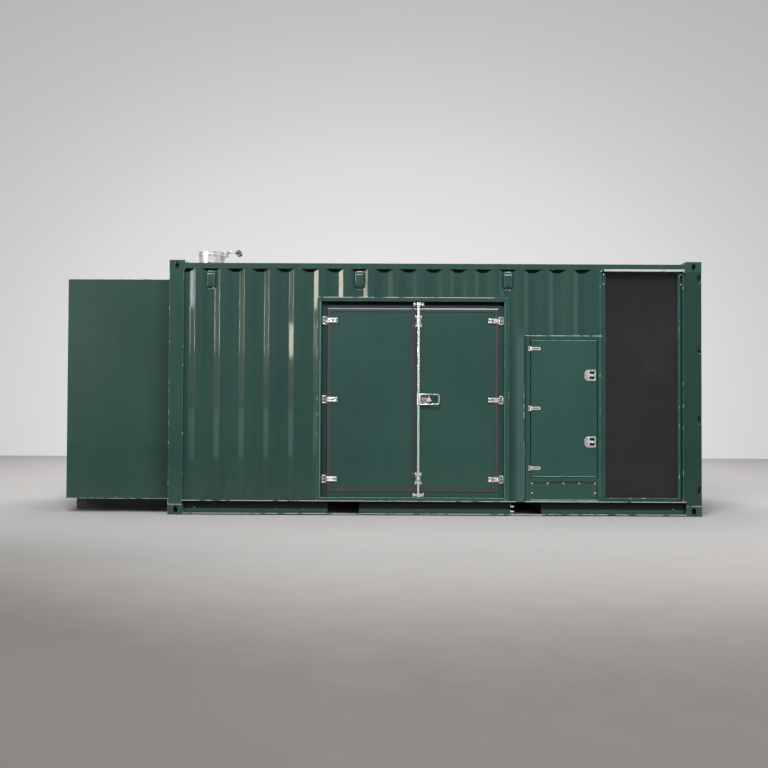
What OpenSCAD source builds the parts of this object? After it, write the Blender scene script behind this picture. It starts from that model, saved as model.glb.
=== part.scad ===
// Silent generator set: a 20 ft high-cube container with double doors, a control door, an air
// inlet screen, a discharge hood on one end and an exhaust stub with a rain cap on the roof.
// Millimetres, +Z up, +X along the length, the front side faces -Y, z = 0 is the ground.

/* [Container] */
// Length over the corner castings
container_l = 6058; // [5960:1:6200]
// Width over the corner castings
container_w = 2438; // [2380:1:2500]
// Height over the corner castings
container_h = 2896; // [2870:1:2960]
// Length of a corner casting
casting_l = 178; // [172:1:186]
// Width of a corner casting
casting_w = 162; // [150:1:172]
// Height of a corner casting
casting_h = 118; // [112:1:126]
// Wall of a corner casting's sides
casting_wall = 20; // [12:1:24]
// Wall of a corner casting's slotted plate
casting_plate = 28; // [20:1:32]
// Slot centre from the container's end
slot_inset_l = 102.5; // [98:0.5:106]
// Slot centre from the container's side
slot_inset_w = 89.5; // [84:0.5:94]
// Length of the slot in a casting
slot_l = 124; // [116:1:130]
// Width of the slot in a casting
slot_w = 63.5; // [58:0.5:68]
// Side face of the posts at the hood end
post_l = 161; // [150:1:170]
// Depth of the posts towards the middle of the container
post_d = 100; // [90:1:112]
// Steel thickness of posts, headers and sills
post_t = 6; // [4:1:8]

/* [Rails and floor] */
// Underside of the bottom side rail above the ground
rail_clear = 14; // [10:1:20]
// Height of the bottom side rail
rail_h = 151; // [140:1:165]
// Width of the bottom side rail's flanges
rail_flange = 48; // [44:1:56]
// Steel thickness of the bottom side rail
rail_t = 5; // [4:1:8]
// Side of the square top side rail
top_rail = 60; // [50:1:66]
// Top of the top side rail below the top of the castings
top_rail_drop = 34; // [28:1:40]
// Width of a fork pocket
fork_w = 360; // [320:1:400]
// Distance between the centres of the fork pockets
fork_centres = 2080; // [1950:1:2150]
// Thickness of the floor plate
floor_t = 6; // [4:1:8]
// Distance between the floor's cross members
member_pitch = 406; // [380:1:460]
// Width of a cross member's flanges
member_flange = 45; // [40:1:60]

/* [Walls and roof] */
// Thickness of the corrugated sheet
sheet_t = 2; // [1.5:0.5:4]
// Distance between the corrugations of the walls
wave_pitch = 282; // [274:1:290]
// Middle of the corrugations from the middle of the container
wave_shift = -19; // [-60:1:20]
// Depth of the corrugations of the walls
wave_depth = 36; // [30:1:42]
// Width of the flat outer rib
rib_w = 72; // [66:1:80]
// Width of the slope between rib and valley
slope_w = 68; // [60:1:72]
// Thickness of the acoustic lining
lining_t = 50; // [30:1:70]
// Distance between the cross corrugations of the roof
roof_pitch = 209; // [190:1:240]
// Height of the cross corrugations of the roof
roof_depth = 14; // [8:1:18]
// Width of the flat margin beside the corrugations of the roof
roof_margin = 125; // [100:1:160]
// Width of a ventilator's cover
vent_w = 85; // [76:1:94]
// Height of a ventilator
vent_h = 222; // [190:1:240]
// Top of the ventilators below the top side rail
vent_drop = 26; // [20:1:34]

/* [Double doors] */
// Wall between the double door frame and the control door frame
door_gap = 193; // [170:1:220]
// Width over the double door frame
door_frame_w = 2178; // [2140:1:2200]
// Top of the double door frame below the top of the castings
door_head = 418; // [400:1:440]
// Width of the door frame's outer face
frame_face = 46; // [40:1:54]
// Height of the door frame's bottom face
frame_sill = 37; // [30:1:46]
// Depth of the doors behind the frame's outer face
door_recess = 57; // [54:1:66]
// Width of the recessed band at the sides
band_side = 59; // [58:1:70]
// Width of the recessed band above the doors
band_top = 66; // [62:1:76]
// Width of the recessed band below the doors
band_bottom = 58; // [56:1:66]
// Thickness of a door leaf
leaf_t = 50; // [40:1:60]
// Gap from the opening's edge to the door seal
seal_gap = 5; // [5:0.5:8]
// Visible width of the door seal
seal_w = 40; // [34:1:44]
// Width of each seal where the leaves meet
seal_mid_w = 15.5; // [12:0.5:18]
// Thickness of the door seal
seal_t = 8; // [6:0.5:8]
// Overhang of the seal beyond the leaf's edges
seal_lip = 7; // [6:1:10]
// Reach of a door hinge strap from the pin
hinge_strap_l = 130; // [110:1:150]
// Height of a door hinge strap
hinge_strap_h = 62; // [50:1:70]
// Height of a door hinge base
hinge_base_h = 96; // [84:1:110]
// Radius of the door hinge pins
hinge_pin_r = 5; // [4:0.5:6]
// Radius of the door hinge knuckles
knuckle_r = 10; // [8:0.5:10.5]
// Door hinge centre from the top and bottom of the opening
hinge_inset = 148; // [120:1:170]

/* [Lock bar] */
// Radius of the lock bar
bar_r = 14; // [12:0.5:16]
// Lock bar axis from the middle of the double doors
bar_x = 64; // [60:1:70]
// Lock bar axis in front of the door leaf
bar_off = 30; // [28:1:34]
// Height of the guides that carry the lock bar
guide_h = 130; // [100:1:150]
// Guides' distance from the top and bottom of the leaf
guide_inset = 90; // [70:1:110]
// Height of the lock bar's handle bracket
handle_h = 128; // [110:1:140]
// Reach of the handle from the lock bar's axis
handle_l = 239; // [200:1:260]
// Diameter of the handle's loop
loop_d = 12; // [10:1:14]

/* [Control door] */
// Width of the control door leaf
control_w = 747; // [720:1:760]
// Height of the control door leaf
control_h = 1551; // [1500:1:1600]
// Width of the control door frame at the left
control_face = 50; // [40:1:56]
// Height of the control door frame above the opening
control_head = 41; // [34:1:50]
// Width of the control door frame at the right
control_jamb = 46; // [40:1:56]
// Gap round the control door leaf
control_gap = 10; // [8:1:12]
// Height of the sloping sill below the gland plate
gland_sill = 25; // [20:1:32]
// Height of the gland plate
gland_h = 201; // [180:1:210]
// Depth of the gland plate behind the frame's outer face
gland_set = 10; // [6:1:14]
// Height of the frame between the gland plate and the control door
gland_rail = 46; // [40:1:60]
// Reach of the control door hinge straps from the pin
small_strap_l = 110; // [90:1:120]
// Height of a control door hinge strap
small_strap_h = 36; // [30:1:44]
// Height of a control door hinge base
small_base_h = 60; // [52:1:70]
// Width of a latch plate
latch_w = 128; // [120:1:136]
// Height of a latch plate
latch_h = 125; // [116:1:136]
// Distance between the two latches
latch_spacing = 756; // [700:1:800]
// Depth of the dish behind a latch paddle
latch_depth = 18; // [14:1:24]

/* [Air inlet] */
// Width of the inlet's recess
inlet_w = 926; // [900:1:940]
// Width of the flat plate between the recess and the end post
inlet_post = 31; // [24:1:40]
// Depth of the inlet frame behind the side's face
inlet_recess = 36; // [30:1:44]
// Width of the inlet frame's stiles
inlet_stile = 50; // [40:1:60]
// Height of the inlet frame's bottom rail
inlet_sill = 42; // [34:1:50]
// Thickness of the inlet screen
screen_t = 4; // [3:0.5:6]
// Projection of the drip bar in front of the side
drip_out = 50; // [40:1:60]
// Height of the drip bar
drip_h = 25; // [20:1:30]

/* [Discharge hood] */
// Length of the discharge hood
hood_l = 1190; // [1100:1:1300]
// Sides of the hood behind the sides of the container
hood_side = 109; // [104:1:160]
// Underside of the hood above the ground
hood_z = 167; // [160:1:180]
// Top of the hood below the top of the castings
hood_drop = 210; // [150:1:300]
// Thickness of the hood's lined panels
hood_t = 50; // [30:1:60]
// Width of the plinth below the hood
plinth_w = 1560; // [1400:1:1700]
// Width of the plinth's beams
plinth_beam = 100; // [80:1:120]
// Thickness of an outlet splitter
splitter_t = 100; // [80:1:120]
// Height of the outlet splitters
splitter_h = 900; // [700:1:1100]
// Width of the air passage in the wall behind the hood
passage_w = 1700; // [1500:1:1800]
// Bottom of that air passage above the ground
passage_z = 420; // [350:1:500]

/* [Exhaust] */
// Outer radius of the exhaust stub
stack_r = 155; // [140:1:165]
// Wall of the exhaust stub
stack_t = 5; // [3:1:8]
// Top of the exhaust stub above the top of the castings
stack_rise = 180; // [154:1:224]
// Exhaust axis from the hood end of the container
stack_inset = 359; // [350:1:380]
// Exhaust axis from the middle of the container towards the front
stack_y = 600; // [560:1:640]
// Height of the collar round the stub
collar_h = 46; // [30:1:60]
// Reach of the rain cap's counterweight arm from its hinge
cap_arm = 150; // [120:1:180]
// Thickness of the rain cap
cap_t = 4; // [3:0.5:6]

/* [End doors] */
// Outer face of the end doors from the container's end
end_set = 39; // [37:1:44]
// Thickness of an end door leaf
end_t = 38; // [34:1:44]
// Width of the posts' outer flange beside the end doors
end_flange = 50; // [44:1:56]
// Height of a hinge notch in the end posts
notch_h = 100; // [90:1:110]
// Radius of the end door lock rods
rod_r = 16; // [13:0.5:17]

/* [Fits] */
// Weld gap between neighbouring pieces
seam = 0.3; // [0.2:0.05:0.4]
// Radial clearance of pins and bars in their bores
fit = 0.05; // [0.03:0.01:0.08]

/* [Hidden] */
$fn = 48;
green = [0.17, 0.31, 0.27];
steel = [0.78, 0.79, 0.80];
black = [0.12, 0.12, 0.13];
rubber = [0.33, 0.31, 0.35];
grey = [0.55, 0.56, 0.57];

origin_x = hood_l / 2;
end_x = container_l / 2;
side_y = container_w / 2;
face_y = -side_y;
rail_top = rail_clear + rail_h;
top_rail_z1 = container_h - top_rail_drop;
top_rail_z0 = top_rail_z1 - top_rail;
member_h = rail_h - floor_t - rail_t;
web_y = side_y - rail_flange;
wall_x0 = -end_x + post_l;
wall_x1 = end_x - casting_l;
beam_top = top_rail_z1 + sheet_t;
sill_top = casting_h + 20;

// Along the front side, each opening from the one beside it
inlet_x1 = wall_x1 - inlet_post;
inlet_x0 = inlet_x1 - inlet_w;
leaf_x1 = inlet_x0 - control_jamb - control_gap;
leaf_x0 = leaf_x1 - control_w;
control_x = leaf_x0 - control_gap - control_face;
frame_x1 = control_x - door_gap;
frame_x0 = frame_x1 - door_frame_w;
door_x = (frame_x0 + frame_x1) / 2;

// Corrugations, counted from the middle of the container
valley_w = wave_pitch - rib_w - 2 * slope_w;
jamb_w = 20;
wave_first = -floor((end_x + wave_shift - post_l / 2 - valley_w) / wave_pitch);
wave_last = floor((inlet_x0 - jamb_w - valley_w / 2 - slope_w - wave_shift) / wave_pitch);
valley_y = face_y + wave_depth;
lining_y = valley_y + sheet_t;
vent_valleys = [wave_first + 1, -3, 3];

// Double door opening
door_frame_top = container_h - door_head;
open_x0 = frame_x0 + frame_face + band_side;
open_x1 = frame_x1 - frame_face - band_side;
open_z0 = rail_top + frame_sill + band_bottom;
open_z1 = door_frame_top - frame_face - band_top;
band_y = face_y + door_recess;
leaf_back_y = band_y + leaf_t;
leaf_gap = seal_gap + seal_lip;
pin_out = 7;
pin_face = seal_t + 6;
pin_y = band_y - pin_face;
hinge_zs = [open_z0 + hinge_inset, (open_z0 + open_z1) / 2, open_z1 - hinge_inset];
plate_t = pin_face - seal_t - seam;
pad_x = pin_out + seal_gap + seal_w + 4;

// Lock bar
lock_x = door_x + bar_x;
lock_y = band_y - bar_off;
handle_rise = 6;
handle_z = (open_z0 + open_z1) / 2 + handle_rise;
cam_ring = 5;
cam_half = 10;
cam_h = 40;
cam_reach = 28;
keeper_lug = 9;
keeper_gap = 11;
cam_z1 = door_frame_top - frame_face - 8;
cam_z0 = rail_top + frame_sill + 8;

// Control door
control_x1 = leaf_x1 + control_gap + control_jamb;
gland_z0 = rail_top + gland_sill;
gland_z1 = gland_z0 + gland_h;
control_z = gland_z1 + gland_rail + control_gap;
leaf_z1 = control_z + control_h;
control_top = leaf_z1 + control_gap + control_head;
small_pin_r = 3.5;
small_knuckle_r = 7;
small_face = small_knuckle_r + 1;
small_pin_x = leaf_x0 - control_gap / 2;
small_pin_y = face_y - small_face;
small_plate_t = 4;
small_inset = 97;
small_zs = [control_z + small_inset, (control_z + leaf_z1) / 2, leaf_z1 - small_inset];
latch_inset = 13;
latch_x = leaf_x1 - latch_w / 2 - latch_inset;
latch_mid = (control_z + leaf_z1) / 2;
latch_plate_t = 4;
dish_w = 70;
dish_h = 95;
dish_x = latch_x + 18;
dish_wall = 3;
paddle_gap = 6;
paddle_pin_r = 3;
paddle_knuckle_r = 5;
paddle_pin_x = dish_x - dish_w / 2 + paddle_knuckle_r + 2;
paddle_pin_y = face_y - 1;

// Air inlet
inlet_y = face_y + inlet_recess;
inlet_depth = 64;
inlet_head = 34;
screen_x0 = inlet_x0 + inlet_stile;
screen_x1 = inlet_x1 - inlet_stile;
screen_z0 = rail_top + inlet_sill;
screen_z1 = top_rail_z0 - inlet_head;
screen_set = 6;

// Hood
hood_x0 = -end_x - hood_l;
hood_y = side_y - hood_side;
hood_top = container_h - hood_drop;
grille_h = 30;
passage_z1 = hood_top - 130;
bulkhead_t = 40;

// Exhaust
stack_x = -end_x + stack_inset;
stack_top = container_h + stack_rise;
cap_gap = 1;
cap_z = stack_top + cap_gap;
cap_pin_r = 5;
cap_pin_x = stack_x + stack_r + 22;
cap_pin_z = cap_z + 12;
ear_t = 8;
cap_knuckle_l = 60;
collar_w = 38;

// End doors
step_x = end_x - end_set - end_t - 2;
end_z0 = rail_top + 4;
end_z1 = container_h - casting_h - 4;
end_leaf_y = side_y - end_flange - 6;
notch_l = 44;
lug_t = 10;
notch_zs = [for (i = [0:3]) end_z0 + 75 + i * (end_z1 - end_z0 - 150 - notch_h / 2) / 3];

// Moves a piece from the container's middle to the part's origin, the middle of the whole length
module site() { translate([origin_x, 0, 0]) children(); }

// The children at the front, and their mirror image at the back
module both_sides() {
    children();
    mirror([0, 1, 0]) children();
}

// The children at one end, and their mirror image at the other
module both_ends() {
    children();
    mirror([1, 0, 0]) children();
}

// A box between two corners
module block(low, high) { translate(low) cube(high - low); }

// An outline in Y and Z, extruded along X
module along_x(x0, x1, outline) {
    translate([x0, 0, 0]) rotate([90, 0, 90]) linear_extrude(x1 - x0) polygon(outline);
}

// A slot with round ends along X, centred, through the plane z = 0
module slot(length, wide, deep) {
    run = (length - wide) / 2;
    translate([-run, -wide / 2, -deep / 2]) cube([2 * run, wide, deep]);
    for (x = [-run, run]) translate([x, 0, -deep / 2]) cylinder(h = deep, d = wide);
}

// ---- Frame of the container ----

// A bottom casting, its outer corner at the origin, slotted in its underside
module casting() {
    hole_w = 51;
    hole_l = 79.5;
    difference() {
        cube([casting_l, casting_w, casting_h]);
        translate([casting_wall, casting_wall, casting_plate])
            cube([casting_l - 2 * casting_wall, casting_w - 2 * casting_wall,
                  casting_h - casting_plate - casting_wall]);
        translate([slot_inset_l, slot_inset_w, casting_plate / 2])
            slot(slot_l, slot_w, casting_plate + 2);
        translate([casting_l / 2, casting_wall / 2, casting_h / 2])
            rotate([90, 90, 0]) slot(hole_l, hole_w, casting_wall + 2);
        translate([casting_wall / 2, casting_w / 2, casting_h / 2])
            rotate([0, 90, 0]) slot(hole_l, hole_w, casting_wall + 2);
    }
}

module corner_castings() {
    color(green) site() both_ends() both_sides() {
        translate([-end_x, -side_y, 0]) casting();
        translate([-end_x, -side_y, container_h]) mirror([0, 0, 1]) casting();
    }
}

// Where the end posts are cut away for the end door hinges
module hinge_notches(x0) {
    for (z = notch_zs)
        translate([x0, -side_y - 1, z]) cube([notch_l + 1, end_flange + 2, notch_h]);
}

module corner_posts() {
    z0 = casting_h;
    z1 = container_h - casting_h;
    color(green) site() both_sides() {
        difference() {
            block([-end_x, -side_y, z0], [-end_x + post_l, -side_y + post_d, z1]);
            block([-end_x + post_t, -side_y + post_t, z0 - 1],
                  [-end_x + post_l - post_t, -side_y + post_d - post_t, z1 + 1]);
        }
        difference() {
            union() {
                block([end_x - casting_l, -side_y, z0], [step_x, -side_y + post_d, z1]);
                block([step_x - 1, -side_y, z0], [end_x, -side_y + end_flange, z1]);
            }
            block([end_x - casting_l + post_t, -side_y + post_t, z0 - 1],
                  [step_x - post_t, -side_y + post_d - post_t, z1 + 1]);
            hinge_notches(end_x - notch_l);
        }
    }
}

module top_side_rails() {
    rail_wall = 4;
    color(green) site() both_sides() difference() {
        block([-wall_x1, -side_y, top_rail_z0], [wall_x1, -side_y + top_rail, top_rail_z1]);
        block([-wall_x1 - 1, -side_y + rail_wall, top_rail_z0 + rail_wall],
              [wall_x1 + 1, -side_y + top_rail - rail_wall, top_rail_z1 - rail_wall]);
    }
}

// A hollow beam across the door end, between the castings, its outer face at x1
module end_beam(x1, z0, z1) {
    y = side_y - casting_w;
    difference() {
        block([wall_x1, -y, z0], [x1, y, z1]);
        block([wall_x1 + post_t, -y - 1, z0 + post_t], [x1 - post_t, y + 1, z1 - post_t]);
    }
}

// The beams stand back at the door end, to leave room for the lock rods
module end_beam_pair(z0, z1) {
    end_beam(end_x - end_set, z0, z1);
    mirror([1, 0, 0]) end_beam(end_x, z0, z1);
}

module end_headers() {
    color(green) site() end_beam_pair(container_h - casting_h, beam_top);
}

module end_sills() {
    color(green) site() end_beam_pair(rail_clear, sill_top);
}

module bottom_side_rails() {
    channel = [
        [-side_y, rail_clear], [-web_y + rail_t, rail_clear], [-web_y + rail_t, rail_top],
        [-side_y, rail_top], [-side_y, rail_top - rail_t], [-web_y, rail_top - rail_t],
        [-web_y, rail_clear + rail_t], [-side_y, rail_clear + rail_t]
    ];
    color(green) site() both_sides() difference() {
        along_x(wall_x0, wall_x1, channel);
        block([-end_x, -side_y - 1, 0], [-end_x + casting_l, -side_y + casting_w, casting_h]);
        for (x = [-fork_centres / 2, fork_centres / 2])
            translate([x - fork_w / 2, -side_y - 1, rail_clear + rail_t])
                cube([fork_w, side_y, rail_h - 2 * rail_t]);
    }
}

module cross_members() {
    y = web_y - rail_t;
    count = floor((wall_x1 - 2 * member_flange) / member_pitch);
    z0 = rail_clear + rail_t;
    color(green) site() for (i = [-count:count]) {
        x = i * member_pitch;
        if (abs(abs(x) - fork_centres / 2) > fork_w / 2 + member_flange + 2 * rail_t)
            translate([x, 0, z0]) rotate([90, 0, 0]) linear_extrude(2 * y, center = true) polygon([
                [0, 0], [member_flange, 0], [member_flange, rail_t], [rail_t, rail_t],
                [rail_t, member_h - rail_t], [member_flange, member_h - rail_t],
                [member_flange, member_h], [0, member_h]
            ]);
    }
}

module fork_pockets() {
    y = web_y - rail_t;
    z0 = rail_clear + rail_t;
    z1 = z0 + member_h;
    color(black) site() for (x = [-fork_centres / 2, fork_centres / 2]) {
        for (s = [-1, 1])
            block([x + s * (fork_w / 2 + rail_t / 2) - rail_t / 2, -y, z0],
                  [x + s * (fork_w / 2 + rail_t / 2) + rail_t / 2, y, z1]);
        block([x - fork_w / 2 + seam, -y, z1 - rail_t], [x + fork_w / 2 - seam, y, z1]);
    }
}

module floor_plate() {
    y = web_y - rail_t - seam;
    color(grey) site()
        block([-wall_x1 + seam, -y, rail_top - floor_t], [wall_x1 - seam, y, rail_top]);
}

// ---- Roof and walls ----

// One face of a corrugated sheet: for each valley its four corners, moved back by shift
function wave_line(first, last, pitch, flat, slope, depth, shift) = [
    for (k = [first:last]) each [
        [k * pitch - flat / 2 - slope, shift], [k * pitch - flat / 2, depth + shift],
        [k * pitch + flat / 2, depth + shift], [k * pitch + flat / 2 + slope, shift]
    ]
];
function backwards(list) = [for (i = [len(list) - 1:-1:0]) list[i]];

// The whole outline of a corrugated sheet from x0 to x1
function sheet_outline(x0, x1, first, last, pitch, flat, slope, depth) = concat(
    [[x0, 0]], wave_line(first, last, pitch, flat, slope, depth, 0),
    [[x1, 0], [x1, sheet_t]],
    backwards(wave_line(first, last, pitch, flat, slope, depth, sheet_t)), [[x0, sheet_t]]
);

// A corrugated middle with closed ends, and a flat margin along each side
module roof_panel() {
    roof_flat = 90;
    roof_slope = 20;
    last = floor((wall_x1 - roof_flat) / roof_pitch);
    middle = side_y - roof_margin;
    closed_end = concat([[-wall_x1, 0]],
        wave_line(-last, last, roof_pitch, roof_flat, roof_slope, roof_depth, sheet_t),
        [[wall_x1, 0]]);
    color(green) site() difference() {
        translate([0, 0, top_rail_z1]) rotate([90, 0, 0]) {
            linear_extrude(2 * middle, center = true)
                polygon(sheet_outline(-wall_x1, wall_x1, -last, last, roof_pitch,
                                      roof_flat, roof_slope, roof_depth));
            for (y = [-middle - sheet_t, middle])
                translate([0, 0, y]) linear_extrude(sheet_t) polygon(closed_end);
            for (y = [-side_y, middle])
                translate([-wall_x1, 0, y]) cube([2 * wall_x1, sheet_t, roof_margin]);
        }
        translate([stack_x, -stack_y, top_rail_z0])
            cylinder(h = 2 * top_rail + roof_depth, r = stack_r + fit);
    }
}

// A stretch of the corrugated front wall
module wall_sheet(x0, x1, z0, z1) {
    intersection() {
        translate([wave_shift, face_y, z0]) linear_extrude(z1 - z0)
            polygon(sheet_outline(-end_x - wave_shift, end_x - wave_shift, wave_first, wave_last,
                                  wave_pitch, valley_w, slope_w, wave_depth));
        difference() {
            block([x0, face_y - 1, z0], [x1, lining_y + 1, z1]);
            block([-end_x, face_y - 2, container_h - casting_h],
                  [-wall_x1, lining_y + 2, container_h]);
        }
    }
}

module front_wall() {
    color(green) site() {
        wall_sheet(wall_x0, frame_x0 - seam, rail_top, top_rail_z0);
        wall_sheet(frame_x0, frame_x1, door_frame_top + seam, top_rail_z0);
        wall_sheet(frame_x1 + seam, control_x - seam, rail_top, top_rail_z0);
        wall_sheet(control_x, inlet_x0 - jamb_w, control_top + seam, top_rail_z0);
    }
}

module back_wall() {
    color(green) site() mirror([0, 1, 0]) {
        wall_sheet(wall_x0, frame_x0 - seam, rail_top, top_rail_z0);
        wall_sheet(frame_x0, frame_x1, door_frame_top + seam, top_rail_z0);
        wall_sheet(frame_x1 + seam, inlet_x0 - jamb_w, rail_top, top_rail_z0);
    }
}

// A lining panel behind a stretch of wall
module lining_panel(x0, x1, z0) {
    block([x0, lining_y, z0], [x1, lining_y + lining_t, top_rail_z0 - seam]);
}

module wall_lining() {
    x0 = -wall_x1 + seam;
    color(grey) site() {
        both_sides() {
            lining_panel(x0, frame_x0 - seam, rail_top);
            lining_panel(frame_x0, frame_x1, door_frame_top + seam);
        }
        lining_panel(frame_x1 + seam, control_x - seam, rail_top);
        lining_panel(control_x, inlet_x0 - jamb_w - seam, control_top + seam);
        mirror([0, 1, 0]) lining_panel(frame_x1 + seam, inlet_x0 - jamb_w - seam, rail_top);
    }
}

module roof_lining() {
    y = side_y - top_rail - seam;
    color(grey) site() difference() {
        block([-wall_x1 + seam, -y, top_rail_z1 - lining_t], [wall_x1 - seam, y, top_rail_z1]);
        translate([stack_x, -stack_y, top_rail_z1 - lining_t - 1])
            cylinder(h = lining_t + 2, r = stack_r + fit);
    }
}

// The wall between the container and the hood, round the air passage
module hood_end_wall() {
    y = side_y - post_d - seam;
    half = passage_w / 2;
    z1 = container_h - casting_h;
    color(green) site() {
        for (s = [0, 1]) mirror([0, s, 0])
            block([-end_x, -y, sill_top], [-end_x + bulkhead_t, -half - seam, z1]);
        block([-end_x, -half, sill_top], [-end_x + bulkhead_t, half, passage_z]);
        block([-end_x, -half, passage_z1], [-end_x + bulkhead_t, half, z1]);
    }
}

// A ventilator: a foot in the valley that shows below its cover, and a cover with a sloping top
module ventilators() {
    foot = 5;
    foot_w = valley_w - 4;
    cover_h = vent_h - 42;
    lip = 6;
    z1 = top_rail_z0 - vent_drop;
    front = wave_depth - 2;
    color(green) site() both_sides() for (k = vent_valleys)
        translate([wave_shift + k * wave_pitch, valley_y, z1]) {
            block([-foot_w / 2, -foot, -vent_h], [foot_w / 2, 0, 0]);
            along_x(-vent_w / 2, vent_w / 2, [
                [-foot, 0], [-front / 2, 0], [-front, -front / 2], [-front, lip - cover_h],
                [lip - front, -cover_h], [-foot, -cover_h]
            ]);
        }
}

// ---- Double doors ----

// Frame at the front: an outer face that stands proud and a recessed band, in eight bars
module door_frame() {
    x0 = frame_x0;
    x1 = frame_x1;
    z1 = door_frame_top;
    sill_z = rail_top + frame_sill;
    head_z = z1 - frame_face;
    inner0 = x0 + frame_face;
    inner1 = x1 - frame_face;
    block([x0, face_y, rail_top], [inner0, leaf_back_y, z1]);
    block([inner1, face_y, rail_top], [x1, leaf_back_y, z1]);
    block([inner0 + seam, face_y, rail_top], [inner1 - seam, leaf_back_y, sill_z]);
    block([inner0 + seam, face_y, head_z], [inner1 - seam, leaf_back_y, z1]);
    block([inner0 + seam, band_y, sill_z + seam], [open_x0, leaf_back_y, head_z - seam]);
    block([open_x1, band_y, sill_z + seam], [inner1 - seam, leaf_back_y, head_z - seam]);
    block([open_x0 + seam, band_y, sill_z + seam], [open_x1 - seam, leaf_back_y, open_z0]);
    block([open_x0 + seam, band_y, open_z1], [open_x1 - seam, leaf_back_y, head_z - seam]);
}

module front_door_frame() { color(green) site() door_frame(); }
module back_door_frame() { color(green) site() mirror([0, 1, 0]) door_frame(); }

// The left leaf at the front; the right leaf is its mirror image about door_x
module leaf() {
    block([open_x0 + leaf_gap, band_y, open_z0 + leaf_gap],
          [door_x - seal_gap / 2 - seal_lip, leaf_back_y, open_z1 - leaf_gap]);
}

module leaf_seal() {
    x0 = open_x0 + seal_gap;
    x1 = door_x - seal_gap / 2;
    z0 = open_z0 + seal_gap;
    z1 = open_z1 - seal_gap;
    difference() {
        block([x0, band_y - seal_t, z0], [x1, band_y, z1]);
        block([x0 + seal_w, band_y - seal_t - 1, z0 + seal_w],
              [x1 - seal_mid_w, band_y + 1, z1 - seal_w]);
    }
}

// Turns a piece of the left leaf into one of the right leaf
module right_hand() {
    translate([door_x, 0, 0]) mirror([1, 0, 0]) translate([-door_x, 0, 0]) children();
}

// A hinge strap: its pin at the origin along Z, the leaf's face at y = face
module hinge_strap(length, high, plate_y, thick, pad_from, face, knuckle, pin) {
    difference() {
        union() {
            block([0, plate_y, -high / 2], [length, plate_y + thick, high / 2]);
            block([pad_from, plate_y, -high / 2], [length, face, high / 2]);
            translate([0, 0, -high / 2]) cylinder(h = high, r = knuckle);
        }
        translate([0, 0, -high / 2 - 1]) cylinder(h = high + 2, r = pin + fit);
    }
}

// A hinge base: a plate on the frame, a knuckle above and below the strap's, and the pin
module hinge_base(high, strap_h, plate_w, thick, face, knuckle, pin) {
    free = strap_h / 2 + 1;
    block([-plate_w - knuckle, face - thick, -high / 2], [-knuckle - 2, face, high / 2]);
    for (s = [0, 1]) mirror([0, 0, s]) {
        block([-knuckle - 3, face - thick - 3, free], [0, face - 3, high / 2]);
        translate([0, 0, free]) cylinder(h = high / 2 - free, r = knuckle);
    }
    translate([0, 0, -high / 2]) cylinder(h = high, r = pin);
}

module door_strap_set() {
    for (z = hinge_zs) translate([open_x0 - pin_out, pin_y, z])
        hinge_strap(hinge_strap_l, hinge_strap_h, 0, plate_t, pad_x, pin_face,
                    knuckle_r, hinge_pin_r);
}

module door_base_set() {
    for (z = hinge_zs) translate([open_x0 - pin_out, pin_y, z])
        hinge_base(hinge_base_h, hinge_strap_h, 34, 8, pin_face, knuckle_r, hinge_pin_r);
}

module left_door() { color(green) site() leaf(); }
module left_door_seal() { color(rubber) site() leaf_seal(); }
module left_door_straps() { color(steel) site() door_strap_set(); }
module right_door() { color(green) site() right_hand() leaf(); }
module right_door_seal() { color(rubber) site() right_hand() leaf_seal(); }
module right_door_straps() { color(steel) site() right_hand() door_strap_set(); }

module hinge_bases() {
    color(steel) site() {
        door_base_set();
        right_hand() door_base_set();
        for (z = small_zs) translate([small_pin_x, small_pin_y, z])
            hinge_base(small_base_h, small_strap_h, 20, small_plate_t, small_face,
                       small_knuckle_r, small_pin_r);
    }
}

// ---- Lock bar ----

module bar_and_cams() {
    translate([lock_x, lock_y, cam_z0]) cylinder(h = cam_z1 - cam_z0, r = bar_r);
    for (z = [cam_z0, cam_z1 - cam_h]) translate([lock_x, lock_y, z]) {
        cylinder(h = cam_h, r = bar_r + cam_ring);
        block([0, -cam_half, 0], [cam_reach, cam_half, cam_h]);
    }
}

module lock_bar() { color(steel) site() bar_and_cams(); }

// Bracket round the bar, a web with two flanges, and the loop at its end
module handle() {
    half = handle_h / 2;
    flange = 12;
    bracket_l = 120;
    front = bar_r + 4;
    wire_z = half - loop_d / 2 - 2;
    bend = 18;
    loop_x = handle_l - loop_d / 2 - bend;
    difference() {
        union() {
            translate([0, 0, -half]) cylinder(h = handle_h, r = bar_r + 8);
            block([0, -front, -half], [bracket_l, -front + 3, half]);
            for (z = [-half, half - flange])
                block([0, -front, z], [bracket_l, 0, z + flange]);
        }
        translate([0, 0, -half - 1]) cylinder(h = handle_h + 2, r = bar_r);
    }
    for (z = [-wire_z, wire_z]) {
        translate([bracket_l - 30, -front / 2 - 3, z]) rotate([0, 90, 0])
            cylinder(h = loop_x - bracket_l + 30, d = loop_d);
    }
    translate([loop_x + bend, -front / 2 - 3, bend - wire_z])
        cylinder(h = 2 * (wire_z - bend), d = loop_d);
    for (s = [0, 1]) mirror([0, 0, s])
        translate([loop_x, -front / 2 - 3, wire_z - bend]) rotate([90, 0, 0])
            rotate_extrude(angle = 90) translate([bend, 0]) circle(d = loop_d);
}

module lock_handle() {
    color(steel) site() translate([lock_x, lock_y, handle_z]) handle();
}

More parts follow.
